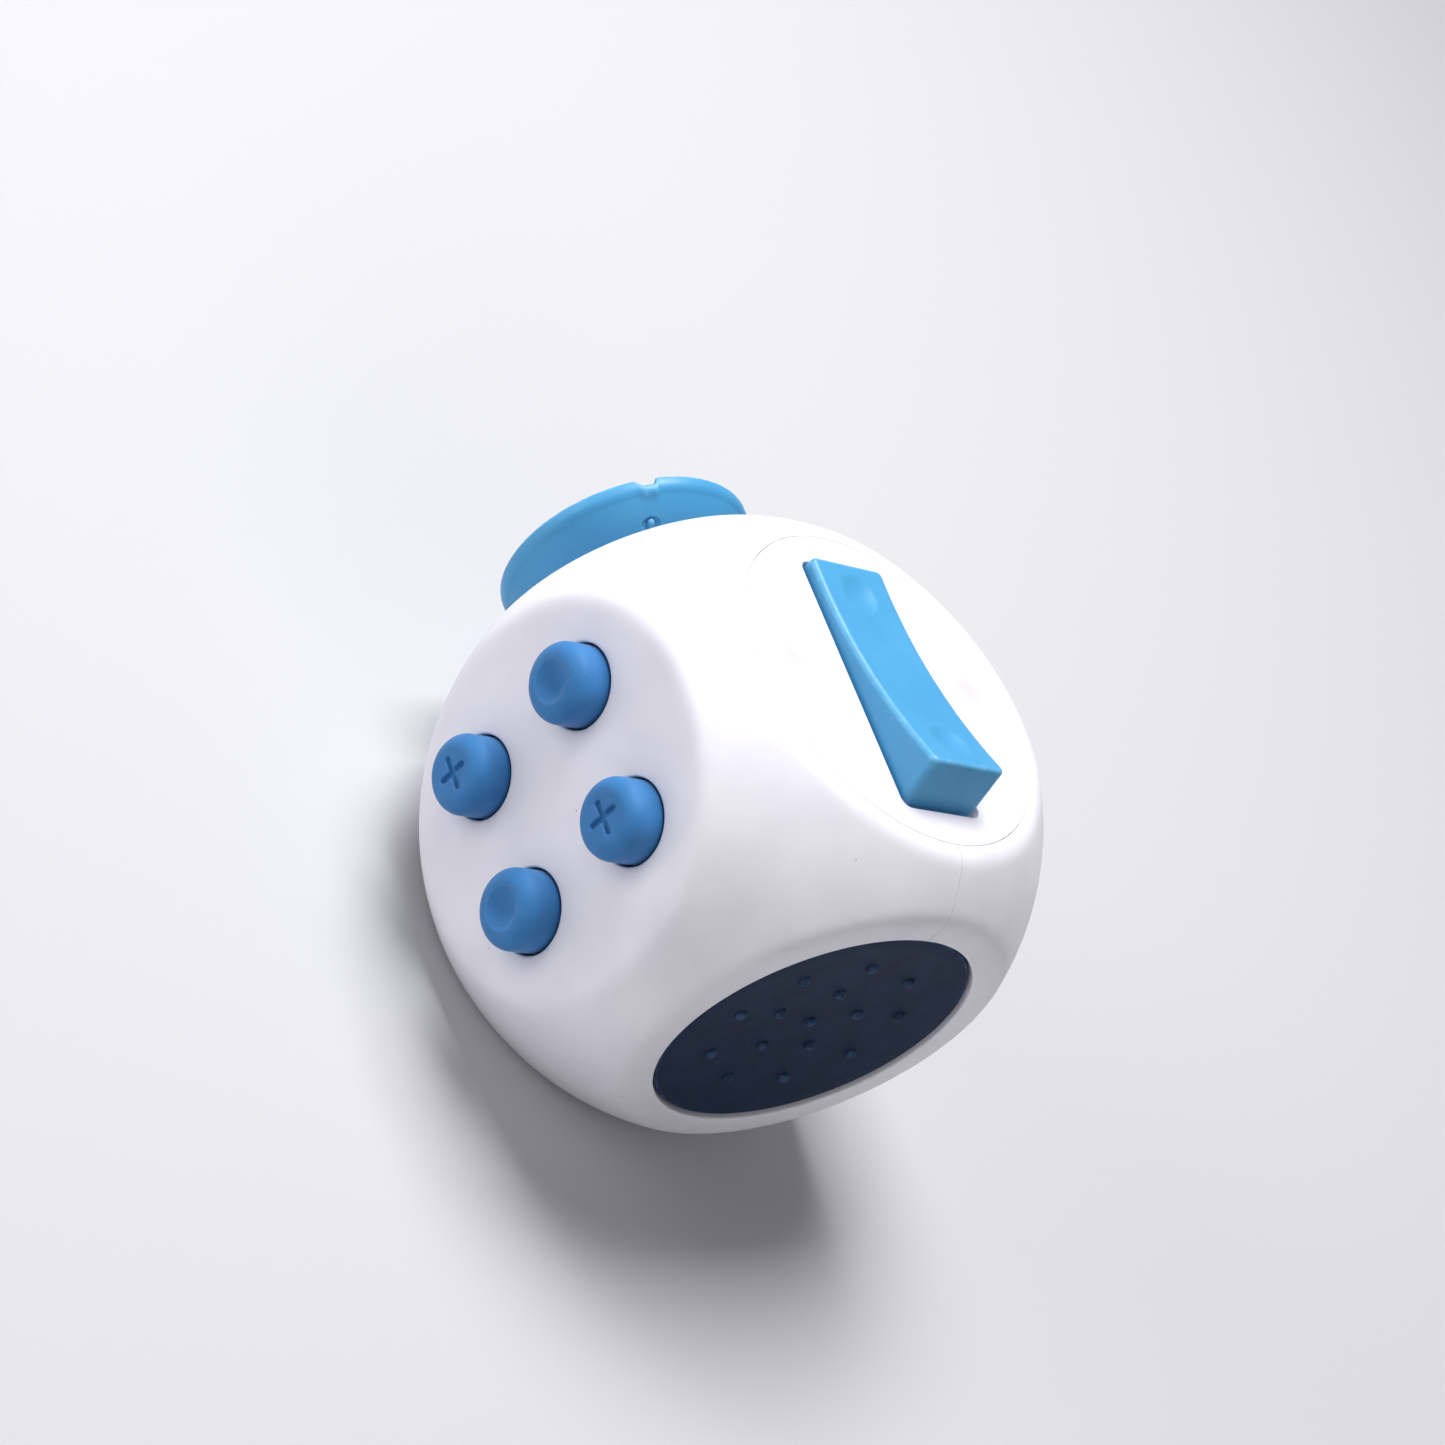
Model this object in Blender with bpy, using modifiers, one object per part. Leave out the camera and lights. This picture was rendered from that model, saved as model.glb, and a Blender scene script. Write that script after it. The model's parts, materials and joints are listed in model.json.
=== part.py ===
"""Ball-shaped fidget cube: a white sphere cut by six flat round faces, each face with its own toy.

Top: flip rocker. Front (-Y): four push buttons. Left (-X): tilting thumb stick. Right (+X): rubber thumb
pad. Back (+Y): three gears and a ball. Bottom (-Z): spin dial inside the flat ring that the cube stands on.
Every side is modelled in its own frame: z runs outwards from the middle of the cube.
"""

from math import acos, atan2, cos, degrees, pi, radians, sin, sqrt, tau

import bmesh
import bpy
from mathutils import Matrix, Vector

MM = 0.001
NEAR = 0.001 * MM  # points nearer than this are one point

# Body
HALF = 18.0 * MM  # from the middle of the cube to each flat face
FACE_R = 14.557 * MM  # radius of each flat face
WALL = 1.8 * MM
SEAM_GAP = 0.12 * MM  # between the two half shells, at the cube's middle plane
GAP = 0.3 * MM  # between pieces that touch
RUN_GAP = 0.2 * MM  # round a pin that turns in a hole
FIT_GAP = 0.1 * MM  # between a bracket and the part that it lines up

# Face plates, held in a groove between the two half shells
PLATE_R = 13.5 * MM
PLATE_GAP = 0.15 * MM
PLATE_DEPTH = 3.2 * MM  # face to underside
LIP = 0.9 * MM  # how far the flange reaches under the shell
LIP_T = 1.7 * MM  # the shell over the flange

# Posts that line up the two half shells
POST_R = 1.9 * MM
PEG_R = 1.0 * MM
PEG_LENGTH = 2.6 * MM

# Small self-tapping screws
SCREW_R = 0.75 * MM
SCREW_HEAD_R = 1.3 * MM
SCREW_HEAD_H = 1.0 * MM
SCREW_BOSS_R = 1.9 * MM
SCREW_EDGE = 1.9 * MM  # plastic from a screw's middle to the end of a wing
SKIN = 1.1 * MM  # plastic left over a blind screw hole

# Push buttons
BUTTON_AT = 5.8 * MM
BUTTON_R = 3.1 * MM
BUTTON_GAP = 0.25 * MM
BUTTON_RISE = 2.8 * MM
BUTTON_SHOULDER = 1.3 * MM
BUTTON_DISH_R = 1.6 * MM
BUTTON_DISH = 0.45 * MM
BUTTON_LIP = 0.75 * MM  # how far the flange reaches past the hole
BUTTON_FLANGE_T = 1.1 * MM
BUTTON_STEM_R = 1.5 * MM
BUTTON_STEM_H = 1.9 * MM
BUTTON_BOSS_GAP = 0.44 * MM  # from a button's flange to a screw boss
CROSS_ARM = 1.3 * MM
CROSS_HALF_WIDTH = 0.25 * MM
CROSS_DEPTH = 0.35 * MM
DOME_R = 2.6 * MM
DOME_H = 0.45 * MM
DOME_T = 0.2 * MM
CARRIER_DEPTH = 7.2 * MM  # face to the top of the carrier
CARRIER_T = 1.2 * MM
CARRIER_EDGE = 1.7 * MM  # past the domes and the screws
BUTTON_SPRING_R = 1.1 * MM
THIN_WIRE = 0.25 * MM

# Flip rocker
ROCKER_HALF_WIDTH = 3.6 * MM
ROCKER_TOP_HALF_LENGTH = 10.0 * MM
ROCKER_FLARE = 0.35 * MM  # each end grows this much from top to bottom
ROCKER_END_RISE = 2.45 * MM  # ends above the face when level
ROCKER_DIP = 1.2 * MM  # middle below the ends
ROCKER_TILT = 8.2  # degrees each way from level
ROCKER_EDGE = 0.45 * MM
ROCKER_BELLY = 0.8 * MM  # below the pivot
ROCKER_NOSE = 3.0 * MM  # tip of the nose below the pivot
ROCKER_NOSE_HALF = 3.0 * MM
ROCKER_NOSE_TIP = 0.5 * MM
ROCKER_SIDE_GAP = 0.34 * MM
ROCKER_END_GAP = 0.42 * MM
SLOT_CORNER_R = 0.8 * MM
PIVOT_DEPTH = 2.2 * MM
ROCKER_PIN_R = 0.8 * MM
ROCKER_PIN_REACH = 1.96 * MM  # past each side of the slot
DIMPLE_AT = 7.3 * MM
DIMPLE_R = 1.7 * MM
DIMPLE_DEPTH = 0.35 * MM
BRACKET_HALF_LENGTH = 4.6 * MM
BRACKET_WALL = 1.4 * MM
BRACKET_BASE_T = 1.8 * MM
BRACKET_ROOM = 1.4 * MM  # below the rocker's nose
BRACKET_WING_HALF = 2.6 * MM
BRACKET_SCREW_AT = 9.5 * MM
BRACKET_SCREW_OFFSET = -1.3 * MM
PLUNGER_R = 1.2 * MM
PLUNGER_LENGTH = 3.9 * MM
PLUNGER_TUBE_WALL = 1.3 * MM
DETENT_SPRING_R = 0.95 * MM
DETENT_SPRING_ROOM = 3.2 * MM

# Thumb stick
STICK_RISE = 7.26 * MM  # rim of the cap above the face
STICK_CAP_R = 10.07 * MM
STICK_CAP_T = 4.5 * MM
STICK_DISH = 1.0 * MM
STICK_LIP = 0.5 * MM  # width of the rim round the dish
STICK_BAND = 1.5 * MM  # height of the band below the rim
STICK_TAPER = 4.5 * MM  # how far the underside draws in from the rim
STICK_SOCKET_ROOF = 1.0 * MM
STICK_TILT = 10.0  # degrees each way
STICK_NECK_R = 1.9 * MM
STICK_SHAFT_R = 1.5 * MM
STICK_SKIRT_R = 6.6 * MM
STICK_SKIRT_T = 1.0 * MM
STICK_SKIRT_ANGLE = 48.0  # from the stick's axis to the skirt's edge, in degrees
STICK_SKIRT_RISE = 0.2 * MM  # top of the skirt above the face
STICK_OPENING_R = 3.8 * MM
STICK_FOOT_R = 2.4 * MM
STICK_FOOT_T = 0.8 * MM
STICK_FOOT_DROP = 3.0 * MM  # underside of the foot below the pivot
RING_INNER_R = 3.0 * MM
RING_OUTER_R = 4.6 * MM
RING_T = 2.4 * MM
TRUNNION_R = 0.7 * MM
TRUNNION_ROOT = 0.6 * MM  # how deep a trunnion starts in the ring
CROSS_PIN_R = 0.6 * MM
CROSS_PIN_SHORT = 0.5 * MM  # each end of the pin inside the ring's edge
FRAME_ROOM = 0.45 * MM  # round the skirt when the stick is tilted
FRAME_WALL = 1.1 * MM
FRAME_FLANGE_T = 1.4 * MM
FRAME_SCREW_GAP = 1.6 * MM  # from the frame's outside to a screw's middle
FRAME_RIM = 1.4 * MM  # from a screw's middle to the flange's edge
FRAME_FLOOR_T = 0.8 * MM
FRAME_VENT_R = 1.2 * MM
CENTRING_DISC_R = 4.4 * MM
CENTRING_DISC_T = 0.8 * MM
CENTRING_TRAVEL = 0.6 * MM
STICK_SPRING_R = 2.9 * MM
STICK_WIRE = 0.4 * MM
STICK_SPRING_ROOM = 2.8 * MM

# Thumb pad
PAD_R = 12.08 * MM
PAD_RIM_DROP = 0.3 * MM
PAD_RIM = 1.2 * MM  # width of the rim round the dish
PAD_EDGE = 0.2 * MM
PAD_DISH = 0.7 * MM

# Spin dial
DIAL_R = 9.0 * MM
DIAL_RECESS_DEPTH = 1.6 * MM
DIAL_DROP = 0.4 * MM  # dial face below the ring that the cube stands on
DIAL_EDGE = 0.3 * MM
DIAL_BOWL_R = 3.2 * MM
DIAL_BOWL = 0.35 * MM
DIAL_HUB_R = 2.0 * MM
DIAL_SCREW_ROOF = 1.0 * MM  # dial left over the screw's tip
DIAL_FLUTE_R = 0.9 * MM
DIAL_FLUTES = 8
DIAL_FLUTE_SHIFT = 0.13  # of the step between two flutes
WASHER_R = 3.4 * MM
WASHER_T = 0.8 * MM

# Gears and ball
GEAR_R = 5.0 * MM
GEAR_ROOT_R = 4.2 * MM
GEAR_TEETH = 16
GEAR_WIDTH = 2.4 * MM
GEAR_SPACING = 2.9 * MM
ROLLER_RISE = 1.0 * MM
GEAR_AXLE_R = 0.9 * MM
GEARS_AT = -4.5 * MM  # along the side's own y
ROLL_BALL_AT = 6.5 * MM
ROLL_BALL_R = 3.0 * MM
CRADLE_WALL = 0.3 * MM
CRADLE_FLOOR_T = 1.6 * MM
CRADLE_MOUTH = 0.4 * MM  # how much narrower the cup's mouth is than the ball
ROLLER_FRAME_HALF = 4.0 * MM
ROLLER_CHEEK_T = 1.2 * MM
ROLLER_FLOOR_T = 1.0 * MM
ROLLER_SCREW_AT = 8.6 * MM
ROLLER_WING_T = 1.2 * MM
ROLLER_WING_HALF = 2.0 * MM
WING_DEPTH = 4.8 * MM  # face to the top of the wings
BALL_TUBE_DROP = 2.2 * MM  # top of the tube below the ball's middle
BALL_SPRING_R = 2.4 * MM
BALL_WIRE = 0.35 * MM
BALL_SPRING_ROOM = 2.8 * MM

BALL_SIDES = 32  # sides of the white ball
ROUND = 36  # sides of a large round piece
MEDIUM = 18
SMALL = 12  # sides of a pin or a post

BALL_R = sqrt(HALF**2 + FACE_R**2)
FACE_UNDER = HALF - WALL
PLATE_UNDER = HALF - PLATE_DEPTH
GROOVE_TOP = HALF - LIP_T
FLANGE_TOP = GROOVE_TOP - GAP
FLANGE_R = PLATE_R + LIP
POST_AT = PLATE_UNDER - GAP - POST_R
CENTRE = Vector((STICK_RISE / 2, (BUTTON_RISE - ROLLER_RISE) / 2, HALF))

BUTTON_HOLE_R = BUTTON_R + BUTTON_GAP
BUTTON_FLANGE_R = BUTTON_HOLE_R + BUTTON_LIP
CARRIER_TOP = HALF - CARRIER_DEPTH
BOSS_REACH = BUTTON_FLANGE_R + BUTTON_BOSS_GAP + SCREW_BOSS_R
CARRIER_SCREW_AT = BUTTON_AT + sqrt(BOSS_REACH**2 - BUTTON_AT**2)

SLOT_HALF_WIDTH = ROCKER_HALF_WIDTH + ROCKER_SIDE_GAP
SLOT_HALF_LENGTH = ROCKER_TOP_HALF_LENGTH + ROCKER_FLARE + ROCKER_END_GAP
ROCKER_PIN_HALF = SLOT_HALF_WIDTH + ROCKER_PIN_REACH

STICK_PIVOT = HALF + STICK_SKIRT_RISE - STICK_SKIRT_R
FRAME_BORE_R = STICK_SKIRT_R * sin(radians(STICK_SKIRT_ANGLE + STICK_TILT)) + FRAME_ROOM
FRAME_OUTER_R = FRAME_BORE_R + FRAME_WALL
FRAME_SCREW_AT = FRAME_OUTER_R + FRAME_SCREW_GAP

WING_TOP = HALF - WING_DEPTH
GEAR_Z = HALF + ROLLER_RISE - GEAR_R
BALL_Z = HALF + ROLLER_RISE - ROLL_BALL_R
CUP_R = ROLL_BALL_R + RUN_GAP
CRADLE_R = CUP_R + CRADLE_WALL

for old in list(bpy.data.objects):
    bpy.data.objects.remove(old)

parts = bpy.data.collections.new("fidget_cube")
cutters = bpy.data.collections.new("cutters")
for collection in (parts, cutters):
    bpy.context.scene.collection.children.link(collection)


def plastic(name, colour, roughness, metallic=0.0):
    made = bpy.data.materials.new(name)
    made.use_nodes = True
    shader = made.node_tree.nodes["Principled BSDF"]
    shader.inputs["Base Color"].default_value = (*colour, 1)
    shader.inputs["Roughness"].default_value = roughness
    shader.inputs["Metallic"].default_value = metallic
    return made


white_abs = plastic("white_abs", (0.86, 0.85, 0.88), 0.35)
inner_abs = plastic("inner_abs", (0.62, 0.63, 0.66), 0.45)
sky_abs = plastic("sky_blue_abs", (0.09, 0.42, 0.78), 0.35)
blue_silicone = plastic("blue_silicone", (0.04, 0.18, 0.44), 0.6)
navy_rubber = plastic("navy_rubber", (0.012, 0.03, 0.075), 0.65)
acetal = plastic("acetal", (0.8, 0.79, 0.75), 0.4)
steel = plastic("steel", (0.6, 0.6, 0.62), 0.25, 1.0)
spring_steel = plastic("spring_steel", (0.45, 0.45, 0.47), 0.3, 1.0)


def empty(name, parent=None, location=(0, 0, 0), rotation=(0, 0, 0)):
    made = bpy.data.objects.new(name, None)
    made.parent = parent
    made.location = location
    made.rotation_euler = rotation
    parts.objects.link(made)
    return made


cube = empty("cube_centre", location=CENTRE)
top_side = empty("rocker_side", cube)
front_side = empty("button_side", cube, rotation=(pi / 2, 0, 0))
left_side = empty("stick_side", cube, rotation=(0, -pi / 2, 0))
right_side = empty("pad_side", cube, rotation=(0, pi / 2, 0))
back_side = empty("roller_side", cube, rotation=(-pi / 2, 0, 0))
bottom_side = empty("dial_side", cube, rotation=(pi, 0, 0))


def place(name, mesh, side, origin, material):
    """One object under its side. With no material it is a cutter."""
    made = bpy.data.objects.new(name, mesh)
    made.parent = side
    made.location = origin
    if material is None:
        made.hide_render = True
        made.display_type = "WIRE"
        cutters.objects.link(made)
    else:
        mesh.materials.append(material)
        parts.objects.link(made)
    return made


def mesh_from(name, bm):
    bmesh.ops.recalc_face_normals(bm, faces=bm.faces)
    mesh = bpy.data.meshes.new(name)
    bm.to_mesh(mesh)
    bm.free()
    return mesh


def box(name, side, low, high, material=None, origin=(0, 0, 0)):
    low, high = Vector(low), Vector(high)
    bm = bmesh.new()
    size = Matrix.Diagonal((*(high - low), 1))
    bmesh.ops.create_cube(bm, matrix=Matrix.Translation((low + high) / 2 - Vector(origin)) @ size)
    return place(name, mesh_from(name, bm), side, origin, material)


def rod(name, side, radius, start, end, material=None, origin=(0, 0, 0), sides=SMALL):
    """A round bar from start to end."""
    start, end = Vector(start), Vector(end)
    turn = (end - start).to_track_quat("Z", "Y").to_matrix().to_4x4()
    where = Matrix.Translation((start + end) / 2 - Vector(origin)) @ turn
    depth = (end - start).length
    bm = bmesh.new()
    bmesh.ops.create_cone(
        bm, cap_ends=True, segments=sides, radius1=radius, radius2=radius, depth=depth, matrix=where
    )
    return place(name, mesh_from(name, bm), side, origin, material)


def ball(name, side, radius, centre, material=None, origin=(0, 0, 0), sides=16):
    bm = bmesh.new()
    where = Matrix.Translation(Vector(centre) - Vector(origin))
    bmesh.ops.create_uvsphere(bm, u_segments=sides, v_segments=sides // 2, radius=radius, matrix=where)
    return place(name, mesh_from(name, bm), side, origin, material)


def turned(name, side, profile, material=None, at=(0, 0), pivot_z=0.0, ring=False, sides=ROUND):
    """A turned piece. Its profile is (radius, z) down the outer side, and closes on itself for a ring."""
    mesh = bpy.data.meshes.new(name)
    points = [(radius, 0, z - pivot_z) for radius, z in profile]
    edges = [(i, i + 1) for i in range(len(points) - 1)]
    if ring:
        edges.append((len(points) - 1, 0))
    mesh.from_pydata(points, edges, [])
    made = place(name, mesh, side, (*at, pivot_z), material)
    screw = made.modifiers.new("turn", "SCREW")
    screw.steps = screw.render_steps = sides
    screw.use_merge_vertices = True
    screw.merge_threshold = NEAR
    return made


def extruded(name, side, outline, half_thickness, material=None, origin=(0, 0, 0)):
    """An outline in the side's x-z plane, made thick along y."""
    bm = bmesh.new()
    ring = [bm.verts.new((x - origin[0], -half_thickness - origin[1], z - origin[2])) for x, z in outline]
    grown = bmesh.ops.extrude_face_region(bm, geom=[bm.faces.new(ring)])
    moved = [item for item in grown["geom"] if isinstance(item, bmesh.types.BMVert)]
    bmesh.ops.translate(bm, verts=moved, vec=(0, 2 * half_thickness, 0))
    return place(name, mesh_from(name, bm), side, origin, material)


def combine(piece, other, operation="DIFFERENCE"):
    modifier = piece.modifiers.new(operation.lower(), "BOOLEAN")
    modifier.operation = operation
    modifier.object = other
    return piece


def cut(piece, *tools):
    for tool in tools:
        combine(piece, tool)


def join(piece, *others):
    for other in others:
        combine(piece, other, "UNION")


def soften(piece, width, angle=40):
    bevel = piece.modifiers.new("edges", "BEVEL")
    bevel.width = width
    bevel.segments = 2
    bevel.limit_method = "ANGLE"
    bevel.angle_limit = radians(angle)


def arc(centre, radius, start, end, steps):
    """(x, z) points on a circle, from one angle to another in degrees."""
    turns = [radians(start + (end - start) * i / steps) for i in range(steps + 1)]
    return [(centre[0] + radius * cos(turn), centre[1] + radius * sin(turn)) for turn in turns]


def bowl(radius, depth, rim_z, steps):
    """(radius, z) points of a shallow round dish, from its middle out to its rim."""
    return [(radius * i / steps, rim_z - depth * (1 - (i / steps) ** 2)) for i in range(steps + 1)]


def coil(name, side, radius, wire, z_low, z_high, turns, at=(0, 0), points_a_turn=8):
    """A compression spring, its wire's middle line on the radius."""
    curve = bpy.data.curves.new(name, "CURVE")
    curve.dimensions = "3D"
    curve.bevel_depth = wire / 2
    curve.bevel_resolution = 1
    curve.use_fill_caps = True
    spline = curve.splines.new("POLY")
    count = round(turns * points_a_turn)
    spline.points.add(count)
    rise = (z_high - z_low - wire) / count
    for i, point in enumerate(spline.points):
        turn = tau * i / points_a_turn
        point.co = (radius * cos(turn), radius * sin(turn), z_low + wire / 2 + rise * i, 1)
    return place(name, curve, side, (*at, 0), spring_steel)


def screw_up(name, side, at, z_head_top, z_tip):
    """A pan-head screw whose head is nearest the cube's middle."""
    profile = [
        (0, z_tip),
        (SCREW_R * 0.5, z_tip),
        (SCREW_R, z_tip - SCREW_R),
        (SCREW_R, z_head_top),
        (SCREW_HEAD_R, z_head_top),
        (SCREW_HEAD_R, z_head_top - SCREW_HEAD_H * 0.6),
        (SCREW_HEAD_R * 0.7, z_head_top - SCREW_HEAD_H),
        (0, z_head_top - SCREW_HEAD_H),
    ]
    turned(name, side, profile, steel, at=at, sides=10)


def screw_hole(name, side, at, z_low, z_high):
    return rod(name, side, SCREW_R + GAP, (*at, z_low), (*at, z_high))


def face_plate(name, side):
    """A round plate flush with the face, with a thin flange below it."""
    profile = [
        (0, HALF),
        (PLATE_R, HALF),
        (PLATE_R, FLANGE_TOP),
        (FLANGE_R, FLANGE_TOP),
        (FLANGE_R, PLATE_UNDER),
        (0, PLATE_UNDER),
    ]
    return turned(name, side, profile, white_abs)


def truncated_ball(name, radius, half):
    made = ball(name, cube, radius, (0, 0, 0), sides=BALL_SIDES)
    return combine(made, box(f"{name}_flats", cube, (-half,) * 3, (half,) * 3), "INTERSECT")


def screw_places():
    """The screws of the button carrier on the front side, and of the roller frame on the back side."""
    for sign in (-1, 1):
        yield front_side, (0, sign * CARRIER_SCREW_AT), CARRIER_TOP
        yield back_side, (sign * ROLLER_SCREW_AT, 0), WING_TOP


def shells():
    cavity = truncated_ball("cavity", BALL_R - WALL, FACE_UNDER)
    corners = [(x * POST_AT, z * POST_AT) for x in (-1, 1) for z in (-1, 1)]
    for x, z in corners:
        cut(cavity, rod("post", cube, POST_R, (x, -BALL_R, z), (x, BALL_R, z)))
    for side, at, top in screw_places():
        cut(cavity, rod("boss", side, SCREW_BOSS_R, (*at, top + GAP), (*at, HALF)))

    halves = []
    for name, sign in (("front_shell", -1), ("rear_shell", 1)):
        shell = ball(name, cube, BALL_R, (0, 0, 0), white_abs, sides=BALL_SIDES)
        combine(shell, box("shell_flats", cube, (-HALF,) * 3, (HALF,) * 3), "INTERSECT")
        cut(shell, cavity)
        near, far = sorted((sign * SEAM_GAP / 2, -sign * 2 * BALL_R))
        low, high = (-2 * BALL_R, near, -2 * BALL_R), (2 * BALL_R, far, 2 * BALL_R)
        cut(shell, box("other_half", cube, low, high))
        halves.append(shell)
    front, rear = halves

    groove_low = PLATE_UNDER - RUN_GAP
    for side, hole_r in (
        (top_side, PLATE_R + PLATE_GAP),
        (left_side, PLATE_R + PLATE_GAP),
        (bottom_side, PLATE_R + PLATE_GAP),
        (right_side, PAD_R + PLATE_GAP),
    ):
        opening = [
            (0, HALF + GAP),
            (hole_r, HALF + GAP),
            (hole_r, GROOVE_TOP),
            (FLANGE_R + GAP, GROOVE_TOP),
            (FLANGE_R + GAP, groove_low),
            (0, groove_low),
        ]
        cut(front, turned("plate_opening", side, opening))
        cut(rear, turned("plate_opening", side, opening))

    for x, z in corners:
        join(front, rod("peg", cube, PEG_R, (x, -PEG_LENGTH, z), (x, PEG_LENGTH, z)))
        socket_end = PEG_LENGTH + GAP
        cut(rear, rod("socket", cube, PEG_R + RUN_GAP, (x, -GAP, z), (x, socket_end, z)))

    through = (FACE_UNDER - GAP, HALF + GAP)
    for x in (-BUTTON_AT, BUTTON_AT):
        for y in (-BUTTON_AT, BUTTON_AT):
            low, high = [(x, y, z) for z in through]
            cut(front, rod("button_hole", front_side, BUTTON_HOLE_R, low, high, sides=MEDIUM))
    for side, at, top in screw_places():
        shell = front if side is front_side else rear
        cut(shell, screw_hole("boss_hole", side, at, top, HALF - SKIN))

    window_half = 1.5 * GEAR_SPACING + RUN_GAP
    window_r = GEAR_R + 2 * RUN_GAP
    left, right = (-window_half, GEARS_AT, GEAR_Z), (window_half, GEARS_AT, GEAR_Z)
    cut(rear, rod("gear_window", back_side, window_r, left, right, sides=ROUND))
    cut(rear, ball("ball_window", back_side, CUP_R, (0, ROLL_BALL_AT, BALL_Z), sides=MEDIUM))


def button(name, x, y, crossed):
    """A silicone cap with a flange behind the wall and a stem. The top is dished, or cut with a cross."""
    top = HALF + BUTTON_RISE
    flange_top = FACE_UNDER - GAP
    stem_top = flange_top - BUTTON_FLANGE_T
    stem_end = stem_top - BUTTON_STEM_H
    middle = [(0, top)] if crossed else bowl(BUTTON_DISH_R, BUTTON_DISH, top, 2)
    shoulder = BUTTON_SHOULDER
    profile = [
        *middle,
        *arc((BUTTON_R - shoulder, top - shoulder), shoulder, 90, 0, 3),
        (BUTTON_R, flange_top),
        (BUTTON_FLANGE_R, flange_top),
        (BUTTON_FLANGE_R, stem_top),
        (BUTTON_STEM_R, stem_top),
        (BUTTON_STEM_R, stem_end),
        (0, stem_end),
    ]
    cap = turned(name, front_side, profile, blue_silicone, at=(x, y), pivot_z=flange_top, sides=MEDIUM)
    if not crossed:
        return
    high = Vector((CROSS_ARM, CROSS_HALF_WIDTH, CROSS_DEPTH))
    for turn in (0, pi / 2):
        groove = box(f"{name}_groove", front_side, -high, high)
        groove.location = (x, y, top)
        groove.rotation_euler.z = turn
        cut(cap, groove)


def buttons():
    """Two dished buttons click on snap domes. Two crossed ones are silent, on coil springs."""
    near, far = -BUTTON_AT, BUTTON_AT
    button("button_dished_upper", near, far, crossed=False)
    button("button_dished_lower", far, near, crossed=False)
    button("button_crossed_upper", far, far, crossed=True)
    button("button_crossed_lower", near, near, crossed=True)

    half_x = BUTTON_AT + DOME_R + CARRIER_EDGE + RUN_GAP
    half_y = CARRIER_SCREW_AT + CARRIER_EDGE
    low = CARRIER_TOP - CARRIER_T
    corner = Vector((half_x, half_y, CARRIER_TOP))
    carrier = box("button_carrier", front_side, (-half_x, -half_y, low), corner, inner_abs)
    for name, sign in (("button_screw_lower", -1), ("button_screw_upper", 1)):
        at = (0, sign * CARRIER_SCREW_AT)
        cut(carrier, screw_hole("carrier_hole", front_side, at, low - GAP, CARRIER_TOP + GAP))
        screw_up(name, front_side, at, low - GAP, HALF - SKIN - GAP)

    dome_r = (DOME_R**2 + DOME_H**2) / (2 * DOME_H)
    base = CARRIER_TOP + GAP / 2 + DOME_T
    middle_z = base + DOME_H - dome_r
    edge = degrees(atan2(dome_r - DOME_H, DOME_R))
    outer = arc((0, middle_z), dome_r, 90, edge, 3)
    inner = arc((0, middle_z - DOME_T), dome_r, edge, 90, 3)
    for name, x, y in (("snap_dome_upper", near, far), ("snap_dome_lower", far, near)):
        turned(name, front_side, outer + inner, spring_steel, at=(x, y), sides=16)
    low, high = CARRIER_TOP + GAP, FACE_UNDER - BUTTON_FLANGE_T - BUTTON_STEM_H - 2 * GAP
    for name, x, y in (("button_spring_upper", far, far), ("button_spring_lower", near, near)):
        coil(name, front_side, BUTTON_SPRING_R, THIN_WIRE, low, high, 3.5, at=(x, y))


def rounded_slot(name, side, half_length, half_width, corner, z_low, z_high):
    made = box(name, side, (-half_length, -half_width, z_low), (half_length, half_width, z_high))
    bevel = made.modifiers.new("corners", "BEVEL")
    bevel.width = corner
    bevel.segments = 3
    bevel.affect = "EDGES"
    bevel.limit_method = "WEIGHT"
    weights = made.data.attributes.new("bevel_weight_edge", "FLOAT", "EDGE")
    for edge in made.data.edges:
        ends = [made.data.vertices[i].co for i in edge.vertices]
        upright = (ends[0] - ends[1]).xy.length < NEAR
        weights.data[edge.index].value = float(upright)
    return made


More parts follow.
